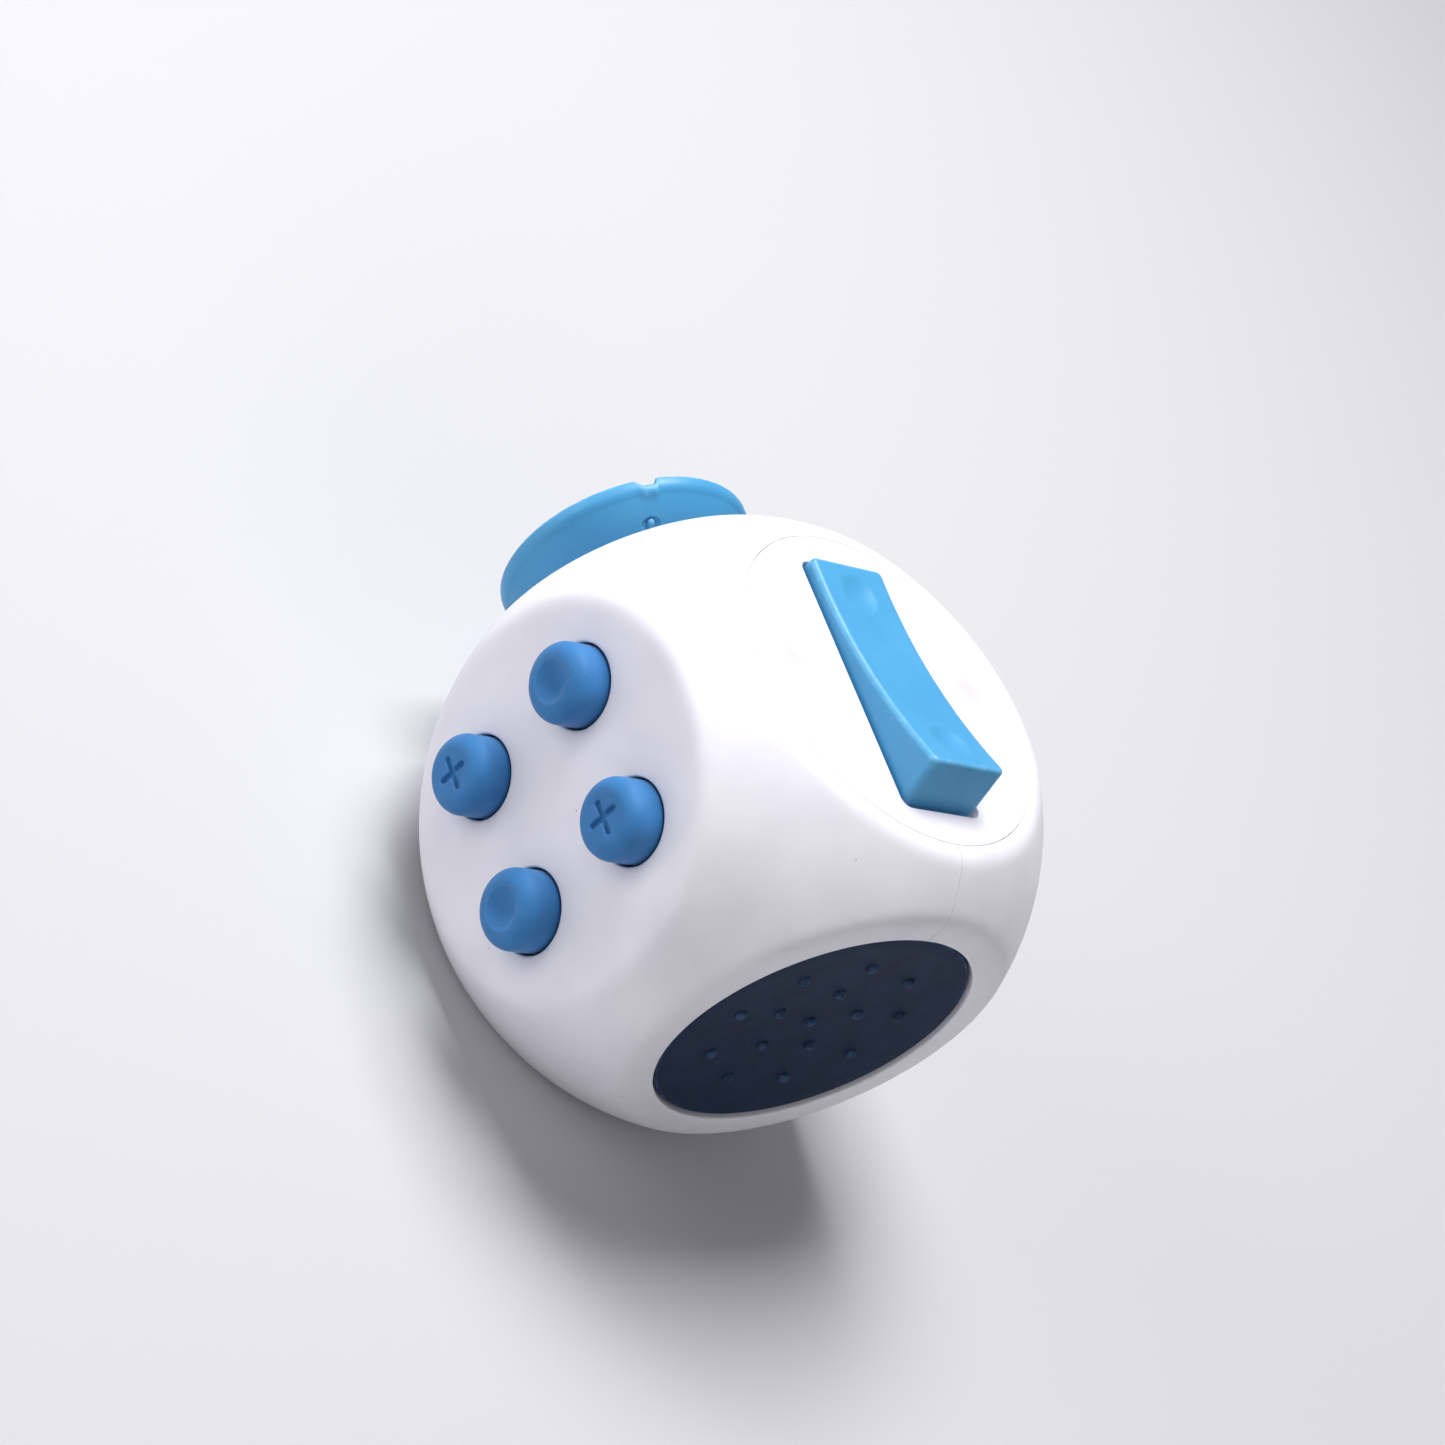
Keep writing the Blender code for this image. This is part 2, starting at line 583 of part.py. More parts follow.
def rocker():
    """A bistable rocker on a cross pin. A sprung plunger bears on the nose below the pin."""
    pivot = HALF - PIVOT_DEPTH
    rise = PIVOT_DEPTH + ROCKER_END_RISE
    length, dip = ROCKER_TOP_HALF_LENGTH, ROCKER_DIP
    scoop_r = (length**2 + dip**2) / (2 * dip)
    spread = degrees(atan2(length, scoop_r - dip))
    scoop = arc((0, rise - dip + scoop_r), scoop_r, 270 + spread, 270 - spread, 10)
    foot = length + ROCKER_FLARE
    outline = [
        *scoop,
        (-foot, PIVOT_DEPTH / 2),
        (-foot, -ROCKER_BELLY),
        (-ROCKER_NOSE_HALF, -ROCKER_BELLY),
        (-ROCKER_NOSE_TIP, -ROCKER_NOSE),
        (ROCKER_NOSE_TIP, -ROCKER_NOSE),
        (ROCKER_NOSE_HALF, -ROCKER_BELLY),
        (foot, -ROCKER_BELLY),
        (foot, PIVOT_DEPTH / 2),
    ]
    flip = extruded("flip_rocker", top_side, outline, ROCKER_HALF_WIDTH, sky_abs)
    flip.location.z = pivot
    flip.rotation_euler.y = radians(-ROCKER_TILT)
    soften(flip, ROCKER_EDGE, 50)
    cut(flip, rod("rocker_bore", flip, ROCKER_PIN_R + RUN_GAP, (0, -length, 0), (0, length, 0)))
    dimple_ball_r = (DIMPLE_R**2 + DIMPLE_DEPTH**2) / (2 * DIMPLE_DEPTH)
    surface = rise - dip + scoop_r - sqrt(scoop_r**2 - DIMPLE_AT**2)
    for sign in (-1, 1):
        centre = (sign * DIMPLE_AT, 0, surface + dimple_ball_r - DIMPLE_DEPTH)
        cut(flip, ball("rocker_dimple", flip, dimple_ball_r, centre, sides=MEDIUM))

    plate = face_plate("rocker_face_plate", top_side)
    cut(plate, rounded_slot("slot", top_side, SLOT_HALF_LENGTH, SLOT_HALF_WIDTH, SLOT_CORNER_R, 0, 2 * HALF))
    groove_x = ROCKER_PIN_R + RUN_GAP
    groove_y = ROCKER_PIN_HALF + RUN_GAP
    low, high = (-groove_x, -groove_y, 0), (groove_x, groove_y, pivot + groove_x)
    cut(plate, box("pin_groove", top_side, low, high))
    near, far = (0, -ROCKER_PIN_HALF, pivot), (0, ROCKER_PIN_HALF, pivot)
    rod("rocker_pin", top_side, ROCKER_PIN_R, near, far, steel)

    # The bracket closes the pin grooves from below and guides the plunger
    top = PLATE_UNDER - GAP
    inside = SLOT_HALF_WIDTH + FIT_GAP
    outside = inside + BRACKET_WALL
    floor = pivot - ROCKER_NOSE - BRACKET_ROOM
    base = floor - BRACKET_BASE_T
    tip = pivot - ROCKER_NOSE - GAP
    plunger_foot = tip - PLUNGER_LENGTH
    well_floor = plunger_foot - DETENT_SPRING_ROOM
    low, high = (-BRACKET_HALF_LENGTH, -outside, base), (BRACKET_HALF_LENGTH, outside, top)
    bracket = box("rocker_bracket", top_side, low, high, inner_abs)
    wing_end = BRACKET_SCREW_AT + SCREW_EDGE
    wing_low = top - BRACKET_WALL
    x_low, x_high = BRACKET_SCREW_OFFSET - BRACKET_WING_HALF, BRACKET_SCREW_OFFSET + BRACKET_WING_HALF
    join(bracket, box("wings", top_side, (x_low, -wing_end, wing_low), (x_high, wing_end, top)))
    tube_r = PLUNGER_R + PLUNGER_TUBE_WALL
    low, high = (0, 0, well_floor - BRACKET_WALL), (0, 0, floor - GAP)
    join(bracket, rod("plunger_tube", top_side, tube_r, low, high))
    cut(bracket, box("channel", top_side, (-HALF, -inside, floor), (HALF, inside, HALF)))
    cut(bracket, rod("plunger_bore", top_side, PLUNGER_R + RUN_GAP, (0, 0, well_floor), (0, 0, HALF)))
    for name, sign in (("rocker_screw_front", -1), ("rocker_screw_rear", 1)):
        at = (BRACKET_SCREW_OFFSET, sign * BRACKET_SCREW_AT)
        cut(bracket, screw_hole("wing_hole", top_side, at, wing_low - GAP, top + GAP))
        cut(plate, screw_hole("plate_hole", top_side, at, 0, HALF - SKIN))
        screw_up(name, top_side, at, wing_low - GAP, HALF - SKIN - GAP)
    plunger = [
        (0, tip),
        (PLUNGER_R / 2, tip),
        (PLUNGER_R, tip - PLUNGER_R),
        (PLUNGER_R, plunger_foot),
        (0, plunger_foot),
    ]
    turned("detent_plunger", top_side, plunger, acetal, sides=SMALL)
    coil("detent_spring", top_side, DETENT_SPRING_R, THIN_WIRE, well_floor + GAP, plunger_foot - GAP, 4)


def stick():
    """A thumb stick on a gimbal ring, centred by a sprung disc that bears on its foot."""
    pivot = STICK_PIVOT
    rim = HALF + STICK_RISE
    cap_under = rim - STICK_CAP_T
    socket_roof = rim - STICK_DISH - STICK_SOCKET_ROOF
    bore_r = STICK_SHAFT_R + RUN_GAP
    lip = STICK_LIP
    flank = []
    for turn in (pi / 6, pi / 3, pi / 2):
        inward = STICK_TAPER * (1 - cos(turn))
        flank.append((STICK_CAP_R - inward, rim - STICK_BAND - (STICK_CAP_T - STICK_BAND) * sin(turn)))
    cap_profile = [
        *bowl(STICK_CAP_R - lip, STICK_DISH, rim, 3),
        *arc((STICK_CAP_R - lip, rim - lip), lip, 60, 0, 2),
        (STICK_CAP_R, rim - STICK_BAND),
        *flank,
        (bore_r, cap_under),
        (bore_r, socket_roof),
        (0, socket_roof),
    ]
    turned("stick_cap", left_side, cap_profile, sky_abs, pivot_z=pivot)

    edge = 90 - STICK_SKIRT_ANGLE
    inner_r = STICK_SKIRT_R - STICK_SKIRT_T
    neck_meets = 90 - degrees(atan2(STICK_NECK_R, STICK_SKIRT_R))
    shaft_meets = 90 - degrees(atan2(STICK_SHAFT_R, inner_r))
    foot = pivot - STICK_FOOT_DROP
    stem_profile = [
        (0, socket_roof - GAP),
        (STICK_SHAFT_R, socket_roof - GAP),
        (STICK_SHAFT_R, cap_under - GAP),
        (STICK_NECK_R, cap_under - GAP),
        *arc((0, pivot), STICK_SKIRT_R, neck_meets, edge, 4),
        *arc((0, pivot), inner_r, edge, shaft_meets, 4),
        (STICK_SHAFT_R, foot + STICK_FOOT_T),
        (STICK_FOOT_R, foot + STICK_FOOT_T),
        (STICK_FOOT_R, foot),
        (0, foot),
    ]
    stem = turned("stick_stem", left_side, stem_profile, acetal, pivot_z=pivot, sides=MEDIUM)
    pin_half = RING_OUTER_R - CROSS_PIN_SHORT
    left, right = (-pin_half, 0, pivot), (pin_half, 0, pivot)
    cut(stem, rod("stem_bore", left_side, CROSS_PIN_R + RUN_GAP, left, right))
    rod("stick_cross_pin", left_side, CROSS_PIN_R, left, right, steel, origin=(0, 0, pivot))

    half_t = RING_T / 2
    ring_profile = [
        (RING_OUTER_R, pivot + half_t),
        (RING_OUTER_R, pivot - half_t),
        (RING_INNER_R, pivot - half_t),
        (RING_INNER_R, pivot + half_t),
    ]
    ring = turned("gimbal_ring", left_side, ring_profile, acetal, pivot_z=pivot, ring=True, sides=MEDIUM)
    reach = FRAME_OUTER_R - FRAME_ROOM
    for sign in (-1, 1):
        inner, outer = (0, sign * (RING_OUTER_R - TRUNNION_ROOT), pivot), (0, sign * reach, pivot)
        join(ring, rod("trunnion", left_side, TRUNNION_R, inner, outer))
    cut(ring, rod("ring_bore", left_side, CROSS_PIN_R + RUN_GAP, (-HALF, 0, pivot), (HALF, 0, pivot)))

    seat_r = STICK_SKIRT_R + GAP
    plate = face_plate("stick_face_plate", left_side)
    seat_top = sqrt(seat_r**2 - STICK_OPENING_R**2)
    seat_top_angle = degrees(atan2(seat_top, STICK_OPENING_R))
    seat_bottom_angle = degrees(atan2(PLATE_UNDER - GAP - pivot, seat_r))
    seat = [
        (0, HALF + GAP),
        (STICK_OPENING_R, HALF + GAP),
        *arc((0, pivot), seat_r, seat_top_angle, seat_bottom_angle, 3),
        (0, pivot),
    ]
    cut(plate, turned("stick_seat", left_side, seat, sides=MEDIUM))

    top = PLATE_UNDER - GAP
    flange_low = top - FRAME_FLANGE_T
    disc_top = foot - CENTRING_TRAVEL
    disc_low = disc_top - CENTRING_DISC_T
    well_floor = disc_low - STICK_SPRING_ROOM
    base = well_floor - FRAME_FLOOR_T
    flange_r = FRAME_SCREW_AT + FRAME_RIM
    frame_profile = [
        (flange_r, top),
        (flange_r, flange_low),
        (FRAME_OUTER_R, flange_low),
        (FRAME_OUTER_R, disc_low),
        (FRAME_OUTER_R - FRAME_WALL, base),
        (FRAME_VENT_R, base),
        (FRAME_VENT_R, well_floor),
        (CENTRING_DISC_R + GAP, well_floor),
        (CENTRING_DISC_R + GAP, foot),
        (FRAME_BORE_R, foot + STICK_FOOT_T),
        (FRAME_BORE_R, top),
    ]
    frame = turned("stick_frame", left_side, frame_profile, inner_abs, ring=True, sides=MEDIUM)
    cut(frame, rod("trunnion_bore", left_side, TRUNNION_R + RUN_GAP, (0, -HALF, pivot), (0, HALF, pivot)))
    for i, name in enumerate(("stick_screw_1", "stick_screw_2", "stick_screw_3")):
        turn = tau * i / 3
        at = (FRAME_SCREW_AT * cos(turn), FRAME_SCREW_AT * sin(turn))
        cut(frame, screw_hole("flange_hole", left_side, at, flange_low - GAP, top + GAP))
        cut(plate, screw_hole("stick_plate_hole", left_side, at, PLATE_UNDER - GAP, HALF - SKIN))
        screw_up(name, left_side, at, flange_low - GAP, HALF - SKIN - GAP)
    disc_profile = [
        (0, disc_top),
        (CENTRING_DISC_R, disc_top),
        (CENTRING_DISC_R, disc_low),
        (0, disc_low),
    ]
    turned("centring_disc", left_side, disc_profile, acetal, sides=MEDIUM)
    coil("stick_spring", left_side, STICK_SPRING_R, STICK_WIRE, well_floor + GAP, disc_low - GAP, 3)


def pad():
    """A dished rubber pad on a carrier plate that sits in the shells' groove."""
    carrier = [(0, FLANGE_TOP), (FLANGE_R, FLANGE_TOP), (FLANGE_R, PLATE_UNDER), (0, PLATE_UNDER)]
    turned("pad_carrier", right_side, carrier, inner_abs)
    rim = HALF - PAD_RIM_DROP
    low = FLANGE_TOP + GAP
    profile = [
        *bowl(PAD_R - PAD_RIM, PAD_DISH, rim, 3),
        (PAD_R - PAD_EDGE, rim),
        (PAD_R, rim - PAD_EDGE),
        (PAD_R, low),
        (0, low),
    ]
    turned("thumb_pad", right_side, profile, navy_rubber)


def dial():
    """A flush dial with a fluted edge, held by a screw and washer from inside."""
    plate = face_plate("dial_face_plate", bottom_side)
    floor = HALF - DIAL_RECESS_DEPTH
    hub_end = PLATE_UNDER - GAP
    recess_r = DIAL_R + GAP
    recess = [
        (0, HALF + GAP),
        (recess_r, HALF + GAP),
        (recess_r, floor),
        (DIAL_HUB_R + RUN_GAP, floor),
        (DIAL_HUB_R + RUN_GAP, 0),
        (0, 0),
    ]
    cut(plate, turned("dial_recess", bottom_side, recess))
    top = HALF - DIAL_DROP
    dial_profile = [
        *bowl(DIAL_BOWL_R, DIAL_BOWL, top, 2),
        (DIAL_R - DIAL_EDGE, top),
        (DIAL_R, top - DIAL_EDGE),
        (DIAL_R, floor + GAP),
        (DIAL_HUB_R, floor + GAP),
        (DIAL_HUB_R, hub_end),
        (0, hub_end),
    ]
    knob = turned("spin_dial", bottom_side, dial_profile, sky_abs)
    for i in range(DIAL_FLUTES):
        turn = tau * (i + DIAL_FLUTE_SHIFT) / DIAL_FLUTES
        x, y = DIAL_R * cos(turn), DIAL_R * sin(turn)
        cut(knob, rod("dial_flute", bottom_side, DIAL_FLUTE_R, (x, y, 0), (x, y, HALF + GAP), sides=10))
    screw_tip = top - DIAL_SCREW_ROOF
    cut(knob, screw_hole("hub_hole", bottom_side, (0, 0), 0, screw_tip + GAP))
    washer_top = hub_end - GAP
    washer_low = washer_top - WASHER_T
    washer = [
        (WASHER_R, washer_top),
        (WASHER_R, washer_low),
        (SCREW_R + GAP, washer_low),
        (SCREW_R + GAP, washer_top),
    ]
    turned("dial_washer", bottom_side, washer, steel, ring=True, sides=MEDIUM)
    screw_up("dial_screw", bottom_side, (0, 0), washer_low - GAP, screw_tip)


def gear(name, x):
    """A thin spur gear for a finger to roll. Each tooth takes four steps, two high and two low."""
    bm = bmesh.new()
    turn = Matrix.Rotation(pi / 2, 4, "Y")
    count = 4 * GEAR_TEETH
    bmesh.ops.create_cone(
        bm, cap_ends=True, segments=count, radius1=GEAR_R, radius2=GEAR_R, depth=GEAR_WIDTH
    )
    for vert in bm.verts:
        step = round(atan2(vert.co.y, vert.co.x) / tau * count) % 4
        if step in (2, 3):
            vert.co.xy *= GEAR_ROOT_R / GEAR_R
    bmesh.ops.transform(bm, matrix=turn, verts=bm.verts)
    made = place(name, mesh_from(name, bm), back_side, (x, GEARS_AT, GEAR_Z), steel)
    bore_r = GEAR_AXLE_R + RUN_GAP
    cut(made, rod("gear_bore", made, bore_r, (-GEAR_WIDTH, 0, 0), (GEAR_WIDTH, 0, 0)))


def rollers():
    """Three gears on one axle and a sprung ball, held in one frame behind the rear wall."""
    for name, place_along in (("left", -1), ("middle", 0), ("right", 1)):
        gear(f"roller_gear_{name}", place_along * GEAR_SPACING)
    cheek_in = 1.5 * GEAR_SPACING + 2 * RUN_GAP
    cheek_out = cheek_in + ROLLER_CHEEK_T
    floor = GEAR_Z - GEAR_R - 2 * RUN_GAP
    base = floor - ROLLER_FLOOR_T
    top = FACE_UNDER - GAP
    y_low, y_high = GEARS_AT - ROLLER_FRAME_HALF, GEARS_AT + ROLLER_FRAME_HALF
    frame = box("roller_frame", back_side, (-cheek_out, y_low, base), (cheek_out, y_high, top), inner_abs)

    tube_at = (0, ROLL_BALL_AT)
    bore_r = CRADLE_R + RUN_GAP
    cradle_foot = BALL_Z - ROLL_BALL_R - CRADLE_FLOOR_T
    well_floor = cradle_foot - BALL_SPRING_ROOM
    tube_low, tube_top = (*tube_at, well_floor - ROLLER_FLOOR_T), (*tube_at, BALL_Z - BALL_TUBE_DROP)
    join(frame, rod("ball_tube", back_side, bore_r + ROLLER_FLOOR_T, tube_low, tube_top, sides=MEDIUM))
    wing_end = ROLLER_SCREW_AT + SCREW_EDGE
    wing_low = WING_TOP - ROLLER_WING_T
    low, high = (-wing_end, -ROLLER_WING_HALF, wing_low), (wing_end, ROLLER_WING_HALF, WING_TOP)
    join(frame, box("frame_wings", back_side, low, high))
    low, high = (-cheek_in, y_low - GAP, floor), (cheek_in, GEARS_AT + GEAR_R + RUN_GAP, HALF)
    cut(frame, box("gear_room", back_side, low, high))
    at = (GEARS_AT, GEAR_Z)
    cut(frame, rod("axle_bore", back_side, GEAR_AXLE_R + RUN_GAP, (-HALF, *at), (HALF, *at)))
    axle_half = cheek_out - RUN_GAP
    rod("gear_axle", back_side, GEAR_AXLE_R, (-axle_half, *at), (axle_half, *at), steel)
    cut(frame, rod("cradle_bore", back_side, bore_r, (*tube_at, well_floor), (*tube_at, HALF), sides=MEDIUM))
    for name, sign in (("roller_screw_left", -1), ("roller_screw_right", 1)):
        at = (sign * ROLLER_SCREW_AT, 0)
        cut(frame, screw_hole("frame_wing_hole", back_side, at, wing_low - GAP, WING_TOP + GAP))
        screw_up(name, back_side, at, wing_low - GAP, HALF - SKIN - GAP)

    centre = (*tube_at, BALL_Z)
    ball("roller_ball", back_side, ROLL_BALL_R, centre, steel, origin=centre)
    cup_edge = -degrees(acos((ROLL_BALL_R - CRADLE_MOUTH) / CUP_R))
    rim_z = BALL_Z + CUP_R * sin(radians(cup_edge))
    cradle = [
        *arc((0, BALL_Z), CUP_R, -90, cup_edge, 4),
        (CRADLE_R, rim_z),
        (CRADLE_R, cradle_foot),
        (0, cradle_foot),
    ]
    turned("ball_cradle", back_side, cradle, acetal, at=tube_at, sides=MEDIUM)
    low, high = well_floor + GAP, cradle_foot - GAP
    coil("ball_spring", back_side, BALL_SPRING_R, BALL_WIRE, low, high, 2.5, at=tube_at)


shells()
buttons()
rocker()
stick()
pad()
dial()
rollers()

for piece in parts.objects:
    if piece.type == "MESH":
        piece.data.shade_smooth()
        piece.data.set_sharp_from_angle(angle=radians(30))
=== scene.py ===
import json
from math import cos, pi, radians, sin, sqrt, tau

import bmesh
import bpy
import numpy as np
from mathutils import Matrix, Vector

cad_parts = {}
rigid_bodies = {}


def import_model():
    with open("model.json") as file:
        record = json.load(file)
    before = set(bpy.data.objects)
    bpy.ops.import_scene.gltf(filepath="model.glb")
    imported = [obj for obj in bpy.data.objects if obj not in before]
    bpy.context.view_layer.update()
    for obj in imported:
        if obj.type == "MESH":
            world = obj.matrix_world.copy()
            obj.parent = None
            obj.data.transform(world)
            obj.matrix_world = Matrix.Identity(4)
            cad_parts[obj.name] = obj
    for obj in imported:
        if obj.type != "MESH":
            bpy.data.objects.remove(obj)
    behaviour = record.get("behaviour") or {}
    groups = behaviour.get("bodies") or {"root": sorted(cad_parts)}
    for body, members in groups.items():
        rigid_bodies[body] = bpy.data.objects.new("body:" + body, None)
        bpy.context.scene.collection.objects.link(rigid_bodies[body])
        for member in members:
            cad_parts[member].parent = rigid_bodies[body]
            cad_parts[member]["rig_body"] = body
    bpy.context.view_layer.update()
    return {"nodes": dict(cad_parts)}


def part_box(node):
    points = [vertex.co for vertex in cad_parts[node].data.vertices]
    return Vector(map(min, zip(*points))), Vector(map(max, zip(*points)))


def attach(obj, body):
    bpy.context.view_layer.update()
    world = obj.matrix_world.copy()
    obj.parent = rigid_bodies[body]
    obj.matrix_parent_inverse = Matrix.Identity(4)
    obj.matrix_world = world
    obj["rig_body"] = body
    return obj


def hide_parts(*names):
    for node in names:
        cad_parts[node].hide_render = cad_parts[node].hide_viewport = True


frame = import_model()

mm = 0.001
gap = 0.3  # left between a piece and the hole, groove or socket that it works in
closeGap = 0.2  # the same where it only has to go together

rearLow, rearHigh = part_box("rear_shell")
halfCube = (rearHigh.z - rearLow.z) / 2
face = round(halfCube / mm, 3)  # middle of the cube to each flat face
outside = face + 1  # where a cutter starts, clear of the face
centre = Vector(((rearLow.x + rearHigh.x) / 2, rearHigh.y - halfCube, (rearLow.z + rearHigh.z) / 2))

sideTurns = {
    "cube": Matrix(),
    "top": Matrix(),
    "front": Matrix.Rotation(pi / 2, 4, "X"),
    "left": Matrix.Rotation(-pi / 2, 4, "Y"),
    "right": Matrix.Rotation(pi / 2, 4, "Y"),
    "back": Matrix.Rotation(-pi / 2, 4, "X"),
    "bottom": Matrix.Rotation(pi, 4, "X"),
}


def hexColour(text):
    # sRGB hex to the linear colour that a shader wants
    channels = [int(text[i:i + 2], 16) / 255 for i in (0, 2, 4)]
    return (*[c / 12.92 if c <= 0.04045 else ((c + 0.055) / 1.055) ** 2.4 for c in channels], 1)


def addNode(tree, kind, links=None, values=None, **settings):
    # one node with its settings, its fixed inputs and its incoming links
    node = tree.nodes.new(kind)
    for key, value in settings.items():
        setattr(node, key, value)
    for socket, value in (values or {}).items():
        node.inputs[socket].default_value = value
    for socket, source in (links or {}).items():
        tree.links.new(source, node.inputs[socket])
    return node


def mathNode(tree, operation, *terms):
    # one Math node's output, its terms being numbers or other nodes' outputs
    node = addNode(tree, "ShaderNodeMath", operation=operation)
    for socket, term in zip(node.inputs, terms):
        if isinstance(term, (int, float)):
            socket.default_value = term
        else:
            tree.links.new(term, socket)
    return node.outputs[0]


def filleted(points, steps=4):
    # (r, z) points, where a third number rounds that corner
    done = []
    for i, point in enumerate(points):
        if len(point) < 3:
            done.append(point)
            continue
        before, corner, after = [Vector(points[k][:2]) for k in (i - 1, i, i + 1)]
        inward, onward = (before - corner).normalized(), (after - corner).normalized()
        half = inward.angle(onward) / 2
        middle = corner + (inward + onward).normalized() * point[2] / sin(half)
        reach = point[2] * cos(half) / sin(half)
        start, end = corner + inward * reach - middle, corner + onward * reach - middle
        done += [tuple(middle + start.slerp(end, k / steps)) for k in range(steps + 1)]
    return done


def arcPoints(middle, radius, start, end, steps):
    turns = [radians(start + (end - start) * i / steps) for i in range(steps + 1)]
    return [(middle[0] + radius * cos(a), middle[1] + radius * sin(a)) for a in turns]


def gridFaces(rings):
    # quads between neighbouring rings of vertex numbers, and a fan where a ring is one point
    faces = []
    for upper, lower in zip(rings, rings[1:]):
        count = max(len(upper), len(lower))
        for j in range(count):
            a, b = upper[j % len(upper)], upper[(j + 1) % len(upper)]
            c, d = lower[(j + 1) % len(lower)], lower[j % len(lower)]
            faces.append(list(dict.fromkeys((a, d, c, b))))
    return faces


def meshFrom(points, faces):
    # one closed mesh, with near points merged and every face pointing out
    mesh = bpy.data.meshes.new("made")
    mesh.from_pydata([tuple(p) for p in points], [], faces)
    bm = bmesh.new()
    bm.from_mesh(mesh)
    bmesh.ops.remove_doubles(bm, verts=bm.verts, dist=0.002)
    bpy.data.meshes.remove(mesh)
    return meshOf(bm)


def latheMesh(profile, sides=128, at=(0, 0)):
    # a turned shape, in millimetres, from (r, z) points down its outer side
    points, rings = [], []
    for r, z in profile:
        count = 1 if r < 1e-6 else sides
        rings.append(list(range(len(points), len(points) + count)))
        turns = [tau * j / sides for j in range(count)]
        points += [(at[0] + r * cos(a), at[1] + r * sin(a), z) for a in turns]
    return meshFrom(points, gridFaces(rings))


def rodMesh(radius, start, end, sides=32):
    start, end = Vector(start), Vector(end)
    turn = (end - start).to_track_quat("Z", "Y").to_matrix().to_4x4()
    bm = bmesh.new()
    bmesh.ops.create_cone(
        bm, cap_ends=True, segments=sides, radius1=radius, radius2=radius,
        depth=(end - start).length, matrix=Matrix.Translation((start + end) / 2) @ turn)
    return meshOf(bm)


def boxMesh(low, high):
    low, high = Vector(low), Vector(high)
    where = Matrix.Translation((low + high) / 2) @ Matrix.Diagonal((*(high - low), 1))
    bm = bmesh.new()
    bmesh.ops.create_cube(bm, matrix=where)
    return meshOf(bm)


def ballMesh(radius, middle, stretch=(1, 1, 1), turn=None, sides=48):
    bm = bmesh.new()
    where = Matrix.Translation(middle) @ (turn or Matrix()) @ Matrix.Diagonal((*stretch, 1))
    bmesh.ops.create_uvsphere(bm, u_segments=sides, v_segments=sides // 2, radius=radius, matrix=where)
    return meshOf(bm)


def meshOf(bm):
    bmesh.ops.recalc_face_normals(bm, faces=bm.faces)
    mesh = bpy.data.meshes.new("made")
    bm.to_mesh(mesh)
    bm.free()
    return mesh


def turnedTo(side, mesh):
    # from a side's own millimetres to the cube's own millimetres
    mesh.transform(sideTurns[side])
    return mesh


def evaluatedMesh(thing):
    bpy.context.view_layer.update()
    return bpy.data.meshes.new_from_object(thing.evaluated_get(bpy.context.evaluated_depsgraph_get()))


def objectOf(mesh, collection=None):
    thing = bpy.data.objects.new("work", mesh)
    (collection or bpy.context.scene.collection).objects.link(thing)
    return thing


def carve(mesh, cutters, operation="DIFFERENCE", solver="MANIFOLD"):
    # cuts every cutter from the mesh, or joins it, and throws the cutters away
    bench = bpy.data.collections.new("bench")
    bpy.context.scene.collection.children.link(bench)
    for cutter in cutters:
        objectOf(cutter, bench)
    work = objectOf(mesh)
    modifier = work.modifiers.new("carve", "BOOLEAN")
    modifier.operation = operation
    modifier.solver = solver
    modifier.operand_type = "COLLECTION"
    modifier.collection = bench
    carved = evaluatedMesh(work)
    for thing in [work, *bench.objects]:
        bpy.data.objects.remove(thing)
    bpy.data.collections.remove(bench)
    return carved


def newTree(name, inputs):
    tree = bpy.data.node_groups.new(name, "GeometryNodeTree")
    tree.interface.new_socket("Geometry", in_out="INPUT", socket_type="NodeSocketGeometry")
    for label, kind, value in inputs:
        socket = tree.interface.new_socket(label, in_out="INPUT", socket_type=kind)
        if value is not None:
            socket.default_value = value
    tree.interface.new_socket("Geometry", in_out="OUTPUT", socket_type="NodeSocketGeometry")
    return tree, addNode(tree, "NodeGroupInput").outputs


def endTree(tree, geometry, given):
    # every tree ends the same way: smooth shading, real geometry, material
    smooth = addNode(tree, "GeometryNodeSetShadeSmooth", {"Geometry": geometry})
    real = addNode(tree, "GeometryNodeRealizeInstances", {"Geometry": smooth.outputs[0]})
    painted = addNode(
        tree, "GeometryNodeSetMaterial", {"Geometry": real.outputs[0], "Material": given["Material"]})
    addNode(tree, "NodeGroupOutput", {0: painted.outputs[0]})


def bakeTree(tree, values):
    # a plain mesh from the tree, in millimetres, with its inputs set by socket identifier
    work = bpy.data.objects.new("work", bpy.data.meshes.new("start"))
    modifier = work.modifiers.new("grow", "NODES")
    modifier.node_group = tree
    for item in tree.interface.items_tree:
        if item.in_out == "INPUT" and item.name in values:
            modifier[item.identifier] = values[item.name]
    bpy.context.scene.collection.objects.link(work)
    mesh = evaluatedMesh(work)
    work.modifiers.clear()
    bpy.data.objects.remove(work)
    bm = bmesh.new()
    bm.from_mesh(mesh)
    bmesh.ops.remove_doubles(bm, verts=bm.verts, dist=0.0005)
    return meshOf(bm)


